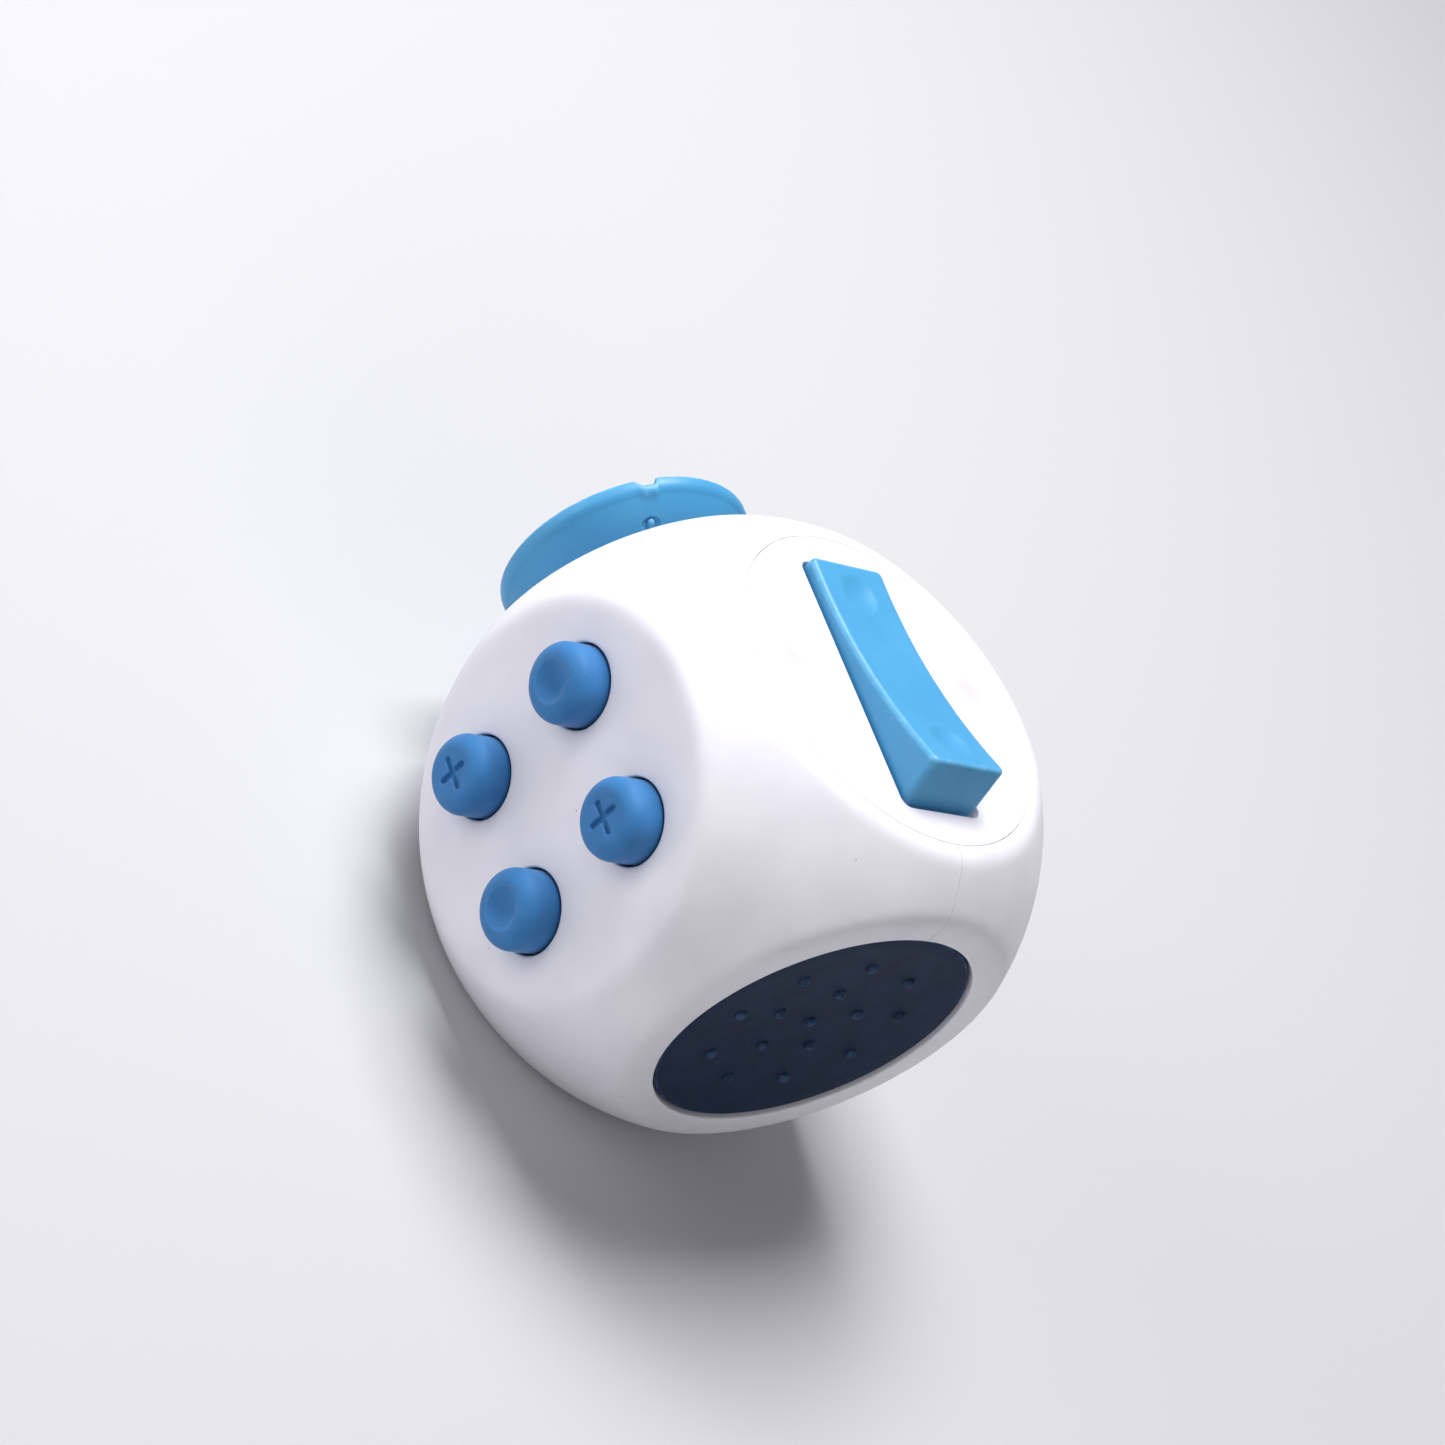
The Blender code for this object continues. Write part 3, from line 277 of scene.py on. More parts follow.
def whiteBallTree():
    # a sphere and six planes, run together by a smooth minimum along each direction from the middle
    tree, given = newTree("whiteBall", [
        ("Half Width", "NodeSocketFloat", 18.0), ("Ball Radius", "NodeSocketFloat", 23.15),
        ("Softness", "NodeSocketFloat", 1.0), ("Grid", "NodeSocketInt", 60),
        ("Material", "NodeSocketMaterial", None)])
    cube = addNode(tree, "GeometryNodeMeshCube", {i: given["Grid"] for i in (1, 2, 3)}, {0: (2, 2, 2)})
    place = addNode(tree, "GeometryNodeInputPosition")
    parts = addNode(tree, "ShaderNodeSeparateXYZ", {0: place.outputs[0]})
    spread = addNode(tree, "ShaderNodeCombineXYZ")
    for i in range(3):
        # the tangent evens out the grid that a cube's side lays on a ball
        angle = mathNode(tree, "MULTIPLY", parts.outputs[i], pi / 4)
        tree.links.new(mathNode(tree, "TANGENT", angle), spread.inputs[i])
    way = addNode(tree, "ShaderNodeVectorMath", {0: spread.outputs[0]}, operation="NORMALIZE")
    ways = addNode(tree, "ShaderNodeSeparateXYZ", {0: way.outputs[0]})
    reach = given["Ball Radius"]
    for i in range(3):
        lean = mathNode(tree, "MAXIMUM", mathNode(tree, "ABSOLUTE", ways.outputs[i]), 0.01)
        plane = mathNode(tree, "DIVIDE", given["Half Width"], lean)
        reach = mathNode(tree, "SMOOTH_MIN", reach, plane, given["Softness"])
    placed = addNode(tree, "ShaderNodeVectorMath", {0: way.outputs[0], "Scale": reach}, operation="SCALE")
    moved = addNode(
        tree, "GeometryNodeSetPosition", {"Geometry": cube.outputs[0], "Position": placed.outputs[0]})
    endTree(tree, moved.outputs[0], given)
    return tree


def springTree():
    # round wire on a spiral, its first and last turns lying as they come
    tree, given = newTree("coilSpring", [
        ("Turns", "NodeSocketFloat", 4.0), ("Coil Radius", "NodeSocketFloat", 1.0),
        ("Height", "NodeSocketFloat", 3.0), ("Wire Radius", "NodeSocketFloat", 0.15),
        ("Material", "NodeSocketMaterial", None)])
    coil = given["Coil Radius"]
    spiral = addNode(
        tree, "GeometryNodeCurveSpiral",
        {"Rotations": given["Turns"], "Start Radius": coil, "End Radius": coil, "Height": given["Height"]},
        {"Resolution": 32})
    wire = addNode(
        tree, "GeometryNodeCurvePrimitiveCircle", {"Radius": given["Wire Radius"]}, {"Resolution": 12})
    tube = addNode(
        tree, "GeometryNodeCurveToMesh", {"Curve": spiral.outputs[0], "Profile Curve": wire.outputs[0]},
        {"Fill Caps": True})
    endTree(tree, tube.outputs[0], given)
    return tree


def dotsTree():
    # domes on one ring: a middle dot is a ring of one with no radius
    tree, given = newTree("padDots", [
        ("Count", "NodeSocketInt", 5), ("Ring Radius", "NodeSocketFloat", 3.8),
        ("Turn", "NodeSocketFloat", 0.0), ("Height", "NodeSocketFloat", 17.0),
        ("Dot Radius", "NodeSocketFloat", 0.5), ("Dot Rise", "NodeSocketFloat", 0.4),
        ("Material", "NodeSocketMaterial", None)])
    number = addNode(tree, "GeometryNodeInputIndex")
    share = mathNode(tree, "DIVIDE", number.outputs[0], given["Count"])
    angle = mathNode(tree, "MULTIPLY_ADD", share, tau, given["Turn"])
    spot = addNode(tree, "ShaderNodeCombineXYZ", {2: given["Height"]})
    for i, operation in enumerate(("COSINE", "SINE")):
        reach = mathNode(tree, "MULTIPLY", mathNode(tree, operation, angle), given["Ring Radius"])
        tree.links.new(reach, spot.inputs[i])
    points = addNode(tree, "GeometryNodePoints", {"Count": given["Count"], "Position": spot.outputs[0]})
    dome = addNode(tree, "GeometryNodeMeshUVSphere", None, {"Segments": 24, "Rings": 12, "Radius": 1.0})
    size = addNode(
        tree, "ShaderNodeCombineXYZ", {0: given["Dot Radius"], 1: given["Dot Radius"], 2: given["Dot Rise"]})
    dots = addNode(
        tree, "GeometryNodeInstanceOnPoints",
        {"Points": points.outputs[0], "Instance": dome.outputs[0], "Scale": size.outputs[0]})
    endTree(tree, dots.outputs[0], given)
    return tree


def gearTree():
    # tapered teeth round a rim, flat in the tree's own plane, cut by the axle's bore
    tree, given = newTree("fingerGear", [
        ("Teeth", "NodeSocketInt", 16), ("Tip Radius", "NodeSocketFloat", 5.0),
        ("Root Radius", "NodeSocketFloat", 4.2), ("Bore Radius", "NodeSocketFloat", 1.1),
        ("Width", "NodeSocketFloat", 2.4), ("Tooth Base", "NodeSocketFloat", 1.0),
        ("Taper", "NodeSocketFloat", 0.5), ("Material", "NodeSocketMaterial", None)])
    rise = mathNode(tree, "SUBTRACT", given["Tip Radius"], given["Root Radius"])
    length = mathNode(tree, "MULTIPLY", rise, 2.0)
    block = addNode(tree, "GeometryNodeMeshCube", None, {0: (1, 1, 1), 1: 3, 2: 3, 3: 5})
    place = addNode(tree, "GeometryNodeInputPosition")
    parts = addNode(tree, "ShaderNodeSeparateXYZ", {0: place.outputs[0]})
    shrink = mathNode(tree, "MULTIPLY", parts.outputs[2], given["Taper"])
    across = mathNode(tree, "MULTIPLY", parts.outputs[0], mathNode(tree, "SUBTRACT", 1.0, shrink))
    shape = addNode(tree, "ShaderNodeCombineXYZ", {0: across, 1: parts.outputs[1], 2: parts.outputs[2]})
    tooth = addNode(
        tree, "GeometryNodeSetPosition", {"Geometry": block.outputs[0], "Position": shape.outputs[0]})
    circle = addNode(
        tree, "GeometryNodeMeshCircle", {"Vertices": given["Teeth"], "Radius": given["Root Radius"]})
    turn = addNode(tree, "FunctionNodeAlignRotationToVector", {"Vector": place.outputs[0]}, axis="Z")
    upright = addNode(
        tree, "FunctionNodeAlignRotationToVector", {"Rotation": turn.outputs[0]}, {"Vector": (0, 0, 1)},
        axis="Y", pivot_axis="Z")
    size = addNode(tree, "ShaderNodeCombineXYZ", {0: given["Tooth Base"], 1: given["Width"], 2: length})
    teeth = addNode(
        tree, "GeometryNodeInstanceOnPoints",
        {"Points": circle.outputs[0], "Instance": tooth.outputs[0], "Rotation": upright.outputs[0],
         "Scale": size.outputs[0]})
    rim = addNode(
        tree, "GeometryNodeMeshCylinder", {"Radius": given["Root Radius"], "Depth": given["Width"]},
        {"Vertices": 96})
    both = addNode(tree, "GeometryNodeMeshBoolean", operation="UNION", solver="EXACT")
    loose = addNode(tree, "GeometryNodeRealizeInstances", {0: teeth.outputs[0]})
    for source in (rim, loose):
        tree.links.new(source.outputs[0], both.inputs["Mesh 2"])
    hole = addNode(
        tree, "GeometryNodeMeshCylinder", {"Radius": given["Bore Radius"]}, {"Vertices": 48, "Depth": 20.0})
    bored = addNode(
        tree, "GeometryNodeMeshBoolean", {"Mesh 1": both.outputs[0], "Mesh 2": hole.outputs[0]},
        operation="DIFFERENCE", solver="EXACT")
    endTree(tree, bored.outputs[0], given)
    return tree


def surface(name, look):
    # moulded, turned or drawn: two shades in a slow cloud, sparse specks, paler edges that are partly rubbed
    # wear and partly painted highlight, a fine grain
    material = bpy.data.materials.new(name)
    material.use_nodes = True
    tree = material.node_tree
    shader = tree.nodes["Principled BSDF"]
    shader.inputs["Metallic"].default_value = look.get("metallic", 0.0)
    for key, label in (("ior", "IOR"), ("specular", "Specular IOR Level"), ("sheen", "Sheen Weight")):
        if key in look:
            shader.inputs[label].default_value = look[key]
    way = addNode(tree, "ShaderNodeTexCoord").outputs["Object"]
    if "stretch" in look:
        way = addNode(tree, "ShaderNodeMapping", {0: way}, {"Scale": look["stretch"]}).outputs[0]

    def noise(key, detail):
        values = {"Scale": 1 / (look[key] * mm), "Detail": detail}
        return addNode(tree, "ShaderNodeTexNoise", {"Vector": way}, values).outputs[0]

    def ranged(source, *ends):
        return addNode(tree, "ShaderNodeMapRange", {0: source}, dict(enumerate(ends, 1))).outputs[0]

    def mixed(share, under, key):
        colour = hexColour(look[key])
        return addNode(tree, "ShaderNodeMix", {0: share, 6: under}, {7: colour}, data_type="RGBA").outputs[2]

    shades = addNode(tree, "ShaderNodeValToRGB", {0: noise("cloudSize", 3.0)})
    for element, place, shade in zip(shades.color_ramp.elements, (0.3, 0.7), look["shades"]):
        element.position = place
        element.color = hexColour(shade)
    colour = shades.outputs[0]
    spots = addNode(
        tree, "ShaderNodeTexVoronoi", {"Vector": way},
        {"Scale": 1 / (look["speckEvery"] * mm), "Randomness": 1.0})
    size = look["speckSize"]
    fleck = ranged(spots.outputs["Distance"], size * 0.6, size, look["speckStrength"], 0.0)
    colour = mixed(fleck, colour, "speck")
    if "sink_painted_shade" in look:
        # painted shade: where a boss behind the wall has drawn the face in, the dent is painted a little
        # greyer
        sinkPaintedShade = addNode(tree, "ShaderNodeAttribute", attribute_name="sink_painted_shade")
        colour = mixed(sinkPaintedShade.outputs["Fac"], colour, "sink_painted_shade")
    # paler where the shape stands out, broken up by a patchy cloud: partly rubbed edges, partly a painted
    # highlight on edges and dots
    edge = addNode(tree, "ShaderNodeAttribute", attribute_name="wear_and_highlight")
    broken = ranged(noise("wearHighlightSize", 3.0), 0.38, 0.62, 0.15, look["wearHighlightStrength"])
    colour = mixed(mathNode(tree, "MULTIPLY", edge.outputs["Fac"], broken), colour, "wornAndHighlight")
    tree.links.new(colour, shader.inputs["Base Color"])
    grain = noise("grainSize", 2.0)
    tree.links.new(ranged(grain, 0.3, 0.7, *look["roughness"]), shader.inputs["Roughness"])
    bump = addNode(
        tree, "ShaderNodeBump", {"Height": grain},
        {"Strength": look["grainStrength"], "Distance": look["grainHeight"] * mm})
    tree.links.new(bump.outputs[0], shader.inputs["Normal"])
    return material


# in each finish below, the worn colour on edges that stand out is partly rubbed wear and partly a painted
# highlight
# satin injection-moulded white ABS: a soft broad shine, a trace of lavender, stray dust
whiteAbs = surface("moulded_white_abs", {
    "shades": ("dddbe4", "e6e4ec"), "cloudSize": 6.0, "roughness": (0.36, 0.46), "ior": 1.53,
    "grainSize": 0.18, "grainStrength": 0.12, "grainHeight": 0.02,
    # the sink colour is painted shade in the sink dents
    "speck": "8f8c98", "speckEvery": 3.2, "speckSize": 0.035, "speckStrength": 0.6, "sink_painted_shade": "cfcddb",
    "wornAndHighlight": "f4f3f8", "wearHighlightSize": 0.7, "wearHighlightStrength": 0.6})
# the same plastic in sky blue, a little glossier, with pale scuff dots
skyAbs = surface("moulded_sky_abs", {
    "shades": ("4092c4", "4799ca"), "cloudSize": 4.0, "roughness": (0.38, 0.48), "ior": 1.46,
    "grainSize": 0.16, "grainStrength": 0.12, "grainHeight": 0.02,
    "speck": "cfe6f7", "speckEvery": 1.2, "speckSize": 0.045, "speckStrength": 0.6,
    "wornAndHighlight": "7cbee6", "wearHighlightSize": 0.9, "wearHighlightStrength": 0.45})
# unpainted grey ABS of the parts inside: duller, with faint flow clouds
innerAbs = surface("moulded_inner_abs", {
    "shades": ("b3b5bc", "bfc1c8"), "cloudSize": 3.0, "roughness": (0.42, 0.55), "ior": 1.53,
    "grainSize": 0.2, "grainStrength": 0.15, "grainHeight": 0.02,
    "speck": "8d8f96", "speckEvery": 3.0, "speckSize": 0.04, "speckStrength": 0.4,
    "wornAndHighlight": "d2d3d8", "wearHighlightSize": 0.7, "wearHighlightStrength": 0.5})
# matte silicone rubber: holds lint, so it shows small pale specks and a slight sheen at its edges
blueSilicone = surface("matte_blue_silicone", {
    "shades": ("2c6ca6", "3377b3"), "cloudSize": 2.5, "roughness": (0.55, 0.68),
    "specular": 0.3, "sheen": 0.06,
    "grainSize": 0.12, "grainStrength": 0.2, "grainHeight": 0.02,
    "speck": "a9c6e4", "speckEvery": 0.5, "speckSize": 0.055, "speckStrength": 0.7,
    # the worn colour also paints a highlight on the buttons' rounded shoulders
    "wornAndHighlight": "4f8ac2", "wearHighlightSize": 0.4, "wearHighlightStrength": 0.4})
# filled navy rubber: almost black, broad dull highlight
navyRubber = surface("matte_navy_rubber", {
    "shades": ("14233c", "192b48"), "cloudSize": 3.0, "roughness": (0.6, 0.72), "specular": 0.15,
    "grainSize": 0.15, "grainStrength": 0.25, "grainHeight": 0.02,
    "speck": "6f7d94", "speckEvery": 1.6, "speckSize": 0.04, "speckStrength": 0.5,
    # the worn colour, strong here, paints a highlight on the pad's small dots and its rounded rim
    "wornAndHighlight": "3d5478", "wearHighlightSize": 0.6, "wearHighlightStrength": 0.9})
# natural acetal: waxy off-white, slippery shine
acetal = surface("natural_acetal", {
    "shades": ("dcd9cd", "e6e3d8"), "cloudSize": 2.0, "roughness": (0.3, 0.4), "ior": 1.48,
    "grainSize": 0.2, "grainStrength": 0.1, "grainHeight": 0.02,
    "speck": "b5b1a2", "speckEvery": 2.5, "speckSize": 0.04, "speckStrength": 0.4,
    "wornAndHighlight": "efede4", "wearHighlightSize": 0.5, "wearHighlightStrength": 0.5})
# polished steel of the ball, gears, pins and screws: bright, with fine turning marks
polishedSteel = surface("polished_steel", {
    "shades": ("b9bac0", "cfd0d5"), "cloudSize": 1.5, "roughness": (0.16, 0.28), "metallic": 1.0,
    "stretch": (1.0, 1.0, 4.0), "grainSize": 0.12, "grainStrength": 0.1, "grainHeight": 0.01,
    "speck": "76777d", "speckEvery": 1.5, "speckSize": 0.05, "speckStrength": 0.4,
    "wornAndHighlight": "e6e6ea", "wearHighlightSize": 0.5, "wearHighlightStrength": 0.7})
# drawn spring wire and pressed domes: darker, with drawing lines
springSteel = surface("drawn_spring_steel", {
    "shades": ("8e9097", "a3a5ac"), "cloudSize": 0.8, "roughness": (0.26, 0.4), "metallic": 1.0,
    "stretch": (1.0, 1.0, 6.0), "grainSize": 0.08, "grainStrength": 0.15, "grainHeight": 0.01,
    "speck": "5c5e64", "speckEvery": 1.0, "speckSize": 0.05, "speckStrength": 0.4,
    "wornAndHighlight": "c2c3c9", "wearHighlightSize": 0.4, "wearHighlightStrength": 0.5})
print("materials done")

finishes = {
    "white_shell": whiteAbs, "sky_blue_plastic": skyAbs, "inner_plastic": innerAbs,
    "blue_silicone": blueSilicone, "navy_rubber": navyRubber, "acetal": acetal,
    "steel": polishedSteel, "spring_steel": springSteel,
}


def markWearAndHighlight(mesh):
    # how far each point stands out, for edges painted paler as rubbed wear and as painted highlight: an edge
    # rounded to 1 mm starts to pale, and one of a third of that is fully pale
    count = len(mesh.vertices)
    places, outward = np.empty(count * 3), np.empty(count * 3)
    mesh.vertices.foreach_get("co", places)
    mesh.vertices.foreach_get("normal", outward)
    places, outward = places.reshape(-1, 3) / mm, outward.reshape(-1, 3)
    ends = np.empty(len(mesh.edges) * 2, int)
    mesh.edges.foreach_get("vertices", ends)
    ends = ends.reshape(-1, 2)
    total, seen = np.zeros(count), np.zeros(count)
    for here, there in (ends.T, ends.T[::-1]):
        step = places[there] - places[here]
        bend = -2 * (step * outward[here]).sum(1) / np.maximum((step ** 2).sum(1), 1e-6)
        total += np.bincount(here, bend, count)
        seen += np.bincount(here, minlength=count)
    wear_and_highlight = np.clip(total / np.maximum(seen, 1) - 0.5, 0, 1)
    mesh.attributes.new("wear_and_highlight", "FLOAT", "POINT").data.foreach_set("value", wear_and_highlight)


def finishPiece(node, mesh, side, slotName, sharp=35):
    # a millimetre mesh goes to its place in metres, and stands for the frame's node of that name
    mesh.transform(Matrix.Translation(centre) @ sideTurns[side] @ Matrix.Scale(mm, 4))
    bm = bmesh.new()
    bm.from_mesh(mesh)
    bmesh.ops.remove_doubles(bm, verts=bm.verts, dist=0.0004 * mm)
    bmesh.ops.recalc_face_normals(bm, faces=bm.faces)
    bm.to_mesh(mesh)
    bm.free()
    mesh.materials.clear()
    mesh.materials.append(finishes[slotName])
    for polygon in mesh.polygons:
        polygon.material_index = 0
    mesh.shade_smooth()
    mesh.set_sharp_from_angle(angle=radians(sharp))
    markWearAndHighlight(mesh)
    piece = bpy.data.objects.new(f"{node}_looks", mesh)
    bpy.context.scene.collection.objects.link(piece)
    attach(piece, frame["nodes"][node]["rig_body"])
    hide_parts(node)


shell = {
    "ballRadius": 23.15, "softness": 1.0, "grid": 110, "innerGrid": 40, "wall": 1.8, "seam": 0.04,
    "plateRadius": 13.5, "plateGap": 0.04, "padRadius": 12.08, "padGap": 0.15,
    "mouth": 0.06, "softMouth": 0.2,
    "flangeRadius": 14.4, "lip": 1.7, "plateDepth": 3.2,
    "postAt": 12.6, "postRadius": 1.9, "pegRadius": 1.0, "pegLength": 2.6,
    "buttonAt": 5.8, "buttonHole": 3.16, "holePast": 0.4,
    "screwHole": 1.05, "screwRoof": 1.1, "bossRadius": 1.9,
    "carrierScrew": 8.6, "carrierTop": 7.2, "rollerScrew": 8.6, "rollerWing": 4.8,
    "gearsAt": -4.5, "gearHeight": 4.0, "gearWindow": 5.4, "gearWindowHalf": 4.55,
    "ballAt": 6.5, "ballHeight": 2.0, "ballWindow": 3.2,
}
ballTree = whiteBallTree()
plateUnder = face - shell["plateDepth"]
screwStart = 10  # below every face plate
flangeTop = face - shell["lip"] - gap
corners = [(x * shell["postAt"], z * shell["postAt"]) for x in (-1, 1) for z in (-1, 1)]


def openingCutter(side, radius, mouth):
    # a flared mouth, a straight wall, and the wider groove that holds the plate's flange
    groove, low = face - shell["lip"], plateUnder - closeGap
    flare = arcPoints((radius + mouth, face - mouth), mouth, 90, 180, 5)
    wide = shell["flangeRadius"] + gap
    profile = [
        (0, outside), (radius + mouth, outside), *flare, (radius, groove), (wide, groove), (wide, low),
        (0, low)]
    return turnedTo(side, latheMesh(profile, 160))


def holeCutter(side, at, radius, low, mouth):
    flare = arcPoints((radius + mouth, face - mouth), mouth, 90, 180, 5)
    profile = [(0, outside), (radius + mouth, outside), *flare, (radius, low), (0, low)]
    return turnedTo(side, latheMesh(profile, 72, at=at))


def screwHole(x, y, low):
    # a blind hole for a screw from inside, with a little plastic left over its end
    return rodMesh(shell["screwHole"], (x, y, low), (x, y, face - shell["screwRoof"]))


def makeShells():
    s = shell
    beyond, clear = 40, 30  # where cutters and posts end, well outside the ball
    skin = bakeTree(ballTree, {
        "Half Width": face, "Ball Radius": s["ballRadius"], "Softness": s["softness"], "Grid": s["grid"],
        "Material": whiteAbs})
    hollow = bakeTree(ballTree, {
        "Half Width": face - s["wall"], "Ball Radius": s["ballRadius"] - s["wall"],
        "Softness": s["softness"], "Grid": s["innerGrid"], "Material": whiteAbs})
    screws = [("front", (0, k * s["carrierScrew"]), face - s["carrierTop"]) for k in (-1, 1)]
    screws += [("back", (k * s["rollerScrew"], 0), face - s["rollerWing"]) for k in (-1, 1)]
    posts = [rodMesh(s["postRadius"], (x, -clear, z), (x, clear, z)) for x, z in corners]
    bosses = [
        turnedTo(side, rodMesh(s["bossRadius"], (*at, top + gap), (*at, clear))) for side, at, top in screws]
    hollow = carve(hollow, posts + bosses)
    plates = [(side, s["plateRadius"] + s["plateGap"], s["mouth"]) for side in ("top", "left", "bottom")]
    plates.append(("right", s["padRadius"] + s["padGap"], s["softMouth"]))
    for node, sign in (("front_shell", -1), ("rear_shell", 1)):
        near = sorted((sign * s["seam"] / 2, -sign * beyond))
        cutters = [hollow.copy(), boxMesh((-beyond, near[0], -beyond), (beyond, near[1], beyond))]
        cutters += [openingCutter(side, radius, mouth) for side, radius, mouth in plates]
        if node == "front_shell":
            spread = (-s["buttonAt"], s["buttonAt"])
            low = face - s["wall"] - s["holePast"]
            cutters += [
                holeCutter("front", (x, y), s["buttonHole"], low, s["softMouth"])
                for x in spread for y in spread]
        else:
            line = (s["gearsAt"], face - s["gearHeight"])
            reach = s["gearWindowHalf"]
            ballAt = (0, s["ballAt"], face - s["ballHeight"])
            cutters += [
                turnedTo("back", rodMesh(s["gearWindow"], (-reach, *line), (reach, *line), 96)),
                turnedTo("back", ballMesh(s["ballWindow"], ballAt, sides=72))]
            cutters += [
                rodMesh(s["pegRadius"] + closeGap, (x, -1, z), (x, s["pegLength"] + gap, z))
                for x, z in corners]
        facing = "front" if sign < 0 else "back"
        cutters += [
            turnedTo(side, screwHole(*at, top - 1)) for side, at, top in screws if side == facing]
        half = carve(skin.copy(), cutters)
        if node == "front_shell":
            reach = s["pegLength"]
            pegs = [rodMesh(s["pegRadius"], (x, -reach, z), (x, reach, z)) for x, z in corners]
            half = carve(half, pegs, "UNION")
        finishPiece(node, half, "cube", "white_shell", sharp=30)
    print("shells done")


plate = {"radius": 13.5, "flange": 14.4, "edge": 0.05, "rings": 44, "sides": 160}


def plateMesh(dents=()):
    # a round plate flush with the face; a dent is (x, y, radius, depth), as a sink mark over a boss, and is
    # painted greyer as painted shade
    p = plate
    r, e = p["radius"], p["edge"]
    topRings = [((r - e) * i / p["rings"], face) for i in range(p["rings"] + 1)]
    profile = [
        *topRings, *arcPoints((r - e, face - e), e, 67.5, 0, 3), (r, flangeTop),
        (p["flange"], flangeTop), (p["flange"], plateUnder), (0, plateUnder)]
    mesh = latheMesh(profile, p["sides"])
    # painted shade: how deep in a sink dent each point lies, so that the finish paints it greyer
    shade = mesh.attributes.new("sink_painted_shade", "FLOAT", "POINT")
    for vertex in mesh.vertices:
        for x, y, radius, depth in dents:
            away = (vertex.co.xy - Vector((x, y))).length / radius
            if vertex.co.z > face - p["edge"] / 5 and away < 1:
                vertex.co.z -= depth * (1 - away ** 2) ** 2
                shade.data[vertex.index].value = 1 - away ** 2
    return mesh


rocker = {
    "halfWidth": 3.8, "halfLength": 10.15, "flare": 0.3, "endRise": 2.37, "dip": 0.95, "tilt": 8.2,
    "edge": 0.45, "corner": 0.6, "belly": 0.8, "nose": 3.0, "noseHalf": 3.0, "noseTip": 0.5,
    "pivotDepth": 2.2, "pinHole": 1.0, "dimpleAt": 7.3, "dimpleRadius": 1.7, "dimpleDepth": 0.32,
    "slotHalfLength": 10.77, "slotHalfWidth": 4.1, "slotCorner": 0.8, "underEdge": 0.3,
    "pinReach": 9.0, "pinGroove": 1.0, "pinGrooveReach": 6.1,
    "screwX": -1.3, "screwY": 9.5, "sinkRadius": 2.1, "sinkDepth": 0.035,
}


def softened(inside):
    # the part above nothing, with a small round where it starts, so that a dish's lip isn't a crease
    return (inside + sqrt(inside ** 2 + 0.008)) / 2


def roundedOutline(halfLength, halfWidth, corner, along=96, across=28, bend=7):
    # anticlockwise points of a rounded rectangle, always the same number of them
    corner = max(corner, 0.002)
    a, b = max(halfLength - corner, 0), max(halfWidth - corner, 0)
    points = []
    for sx, sy, start in ((1, 1, 0), (-1, 1, 90), (-1, -1, 180), (1, -1, 270)):
        points += arcPoints((sx * a, sy * b), corner, start, start + 90, bend)
        runX, runY, count = (-2 * a * sx, 0, along) if sx == sy else (0, -2 * b * sy, across)
        points += [
            (points[-1][0] + runX * k / count, points[-1][1] + runY * k / count) for k in range(1, count)]
    return points


def rockerTop(x, y):
    r = rocker
    rise = r["pivotDepth"] + r["endRise"]
    scoopRadius = (r["halfLength"] ** 2 + r["dip"] ** 2) / (2 * r["dip"])
    height = rise - r["dip"] + scoopRadius - sqrt(scoopRadius ** 2 - x * x)
    for sign in (-1, 1):
        inside = 1 - ((x - sign * r["dimpleAt"]) ** 2 + y * y) / r["dimpleRadius"] ** 2
        height -= r["dimpleDepth"] * softened(inside)
    return height


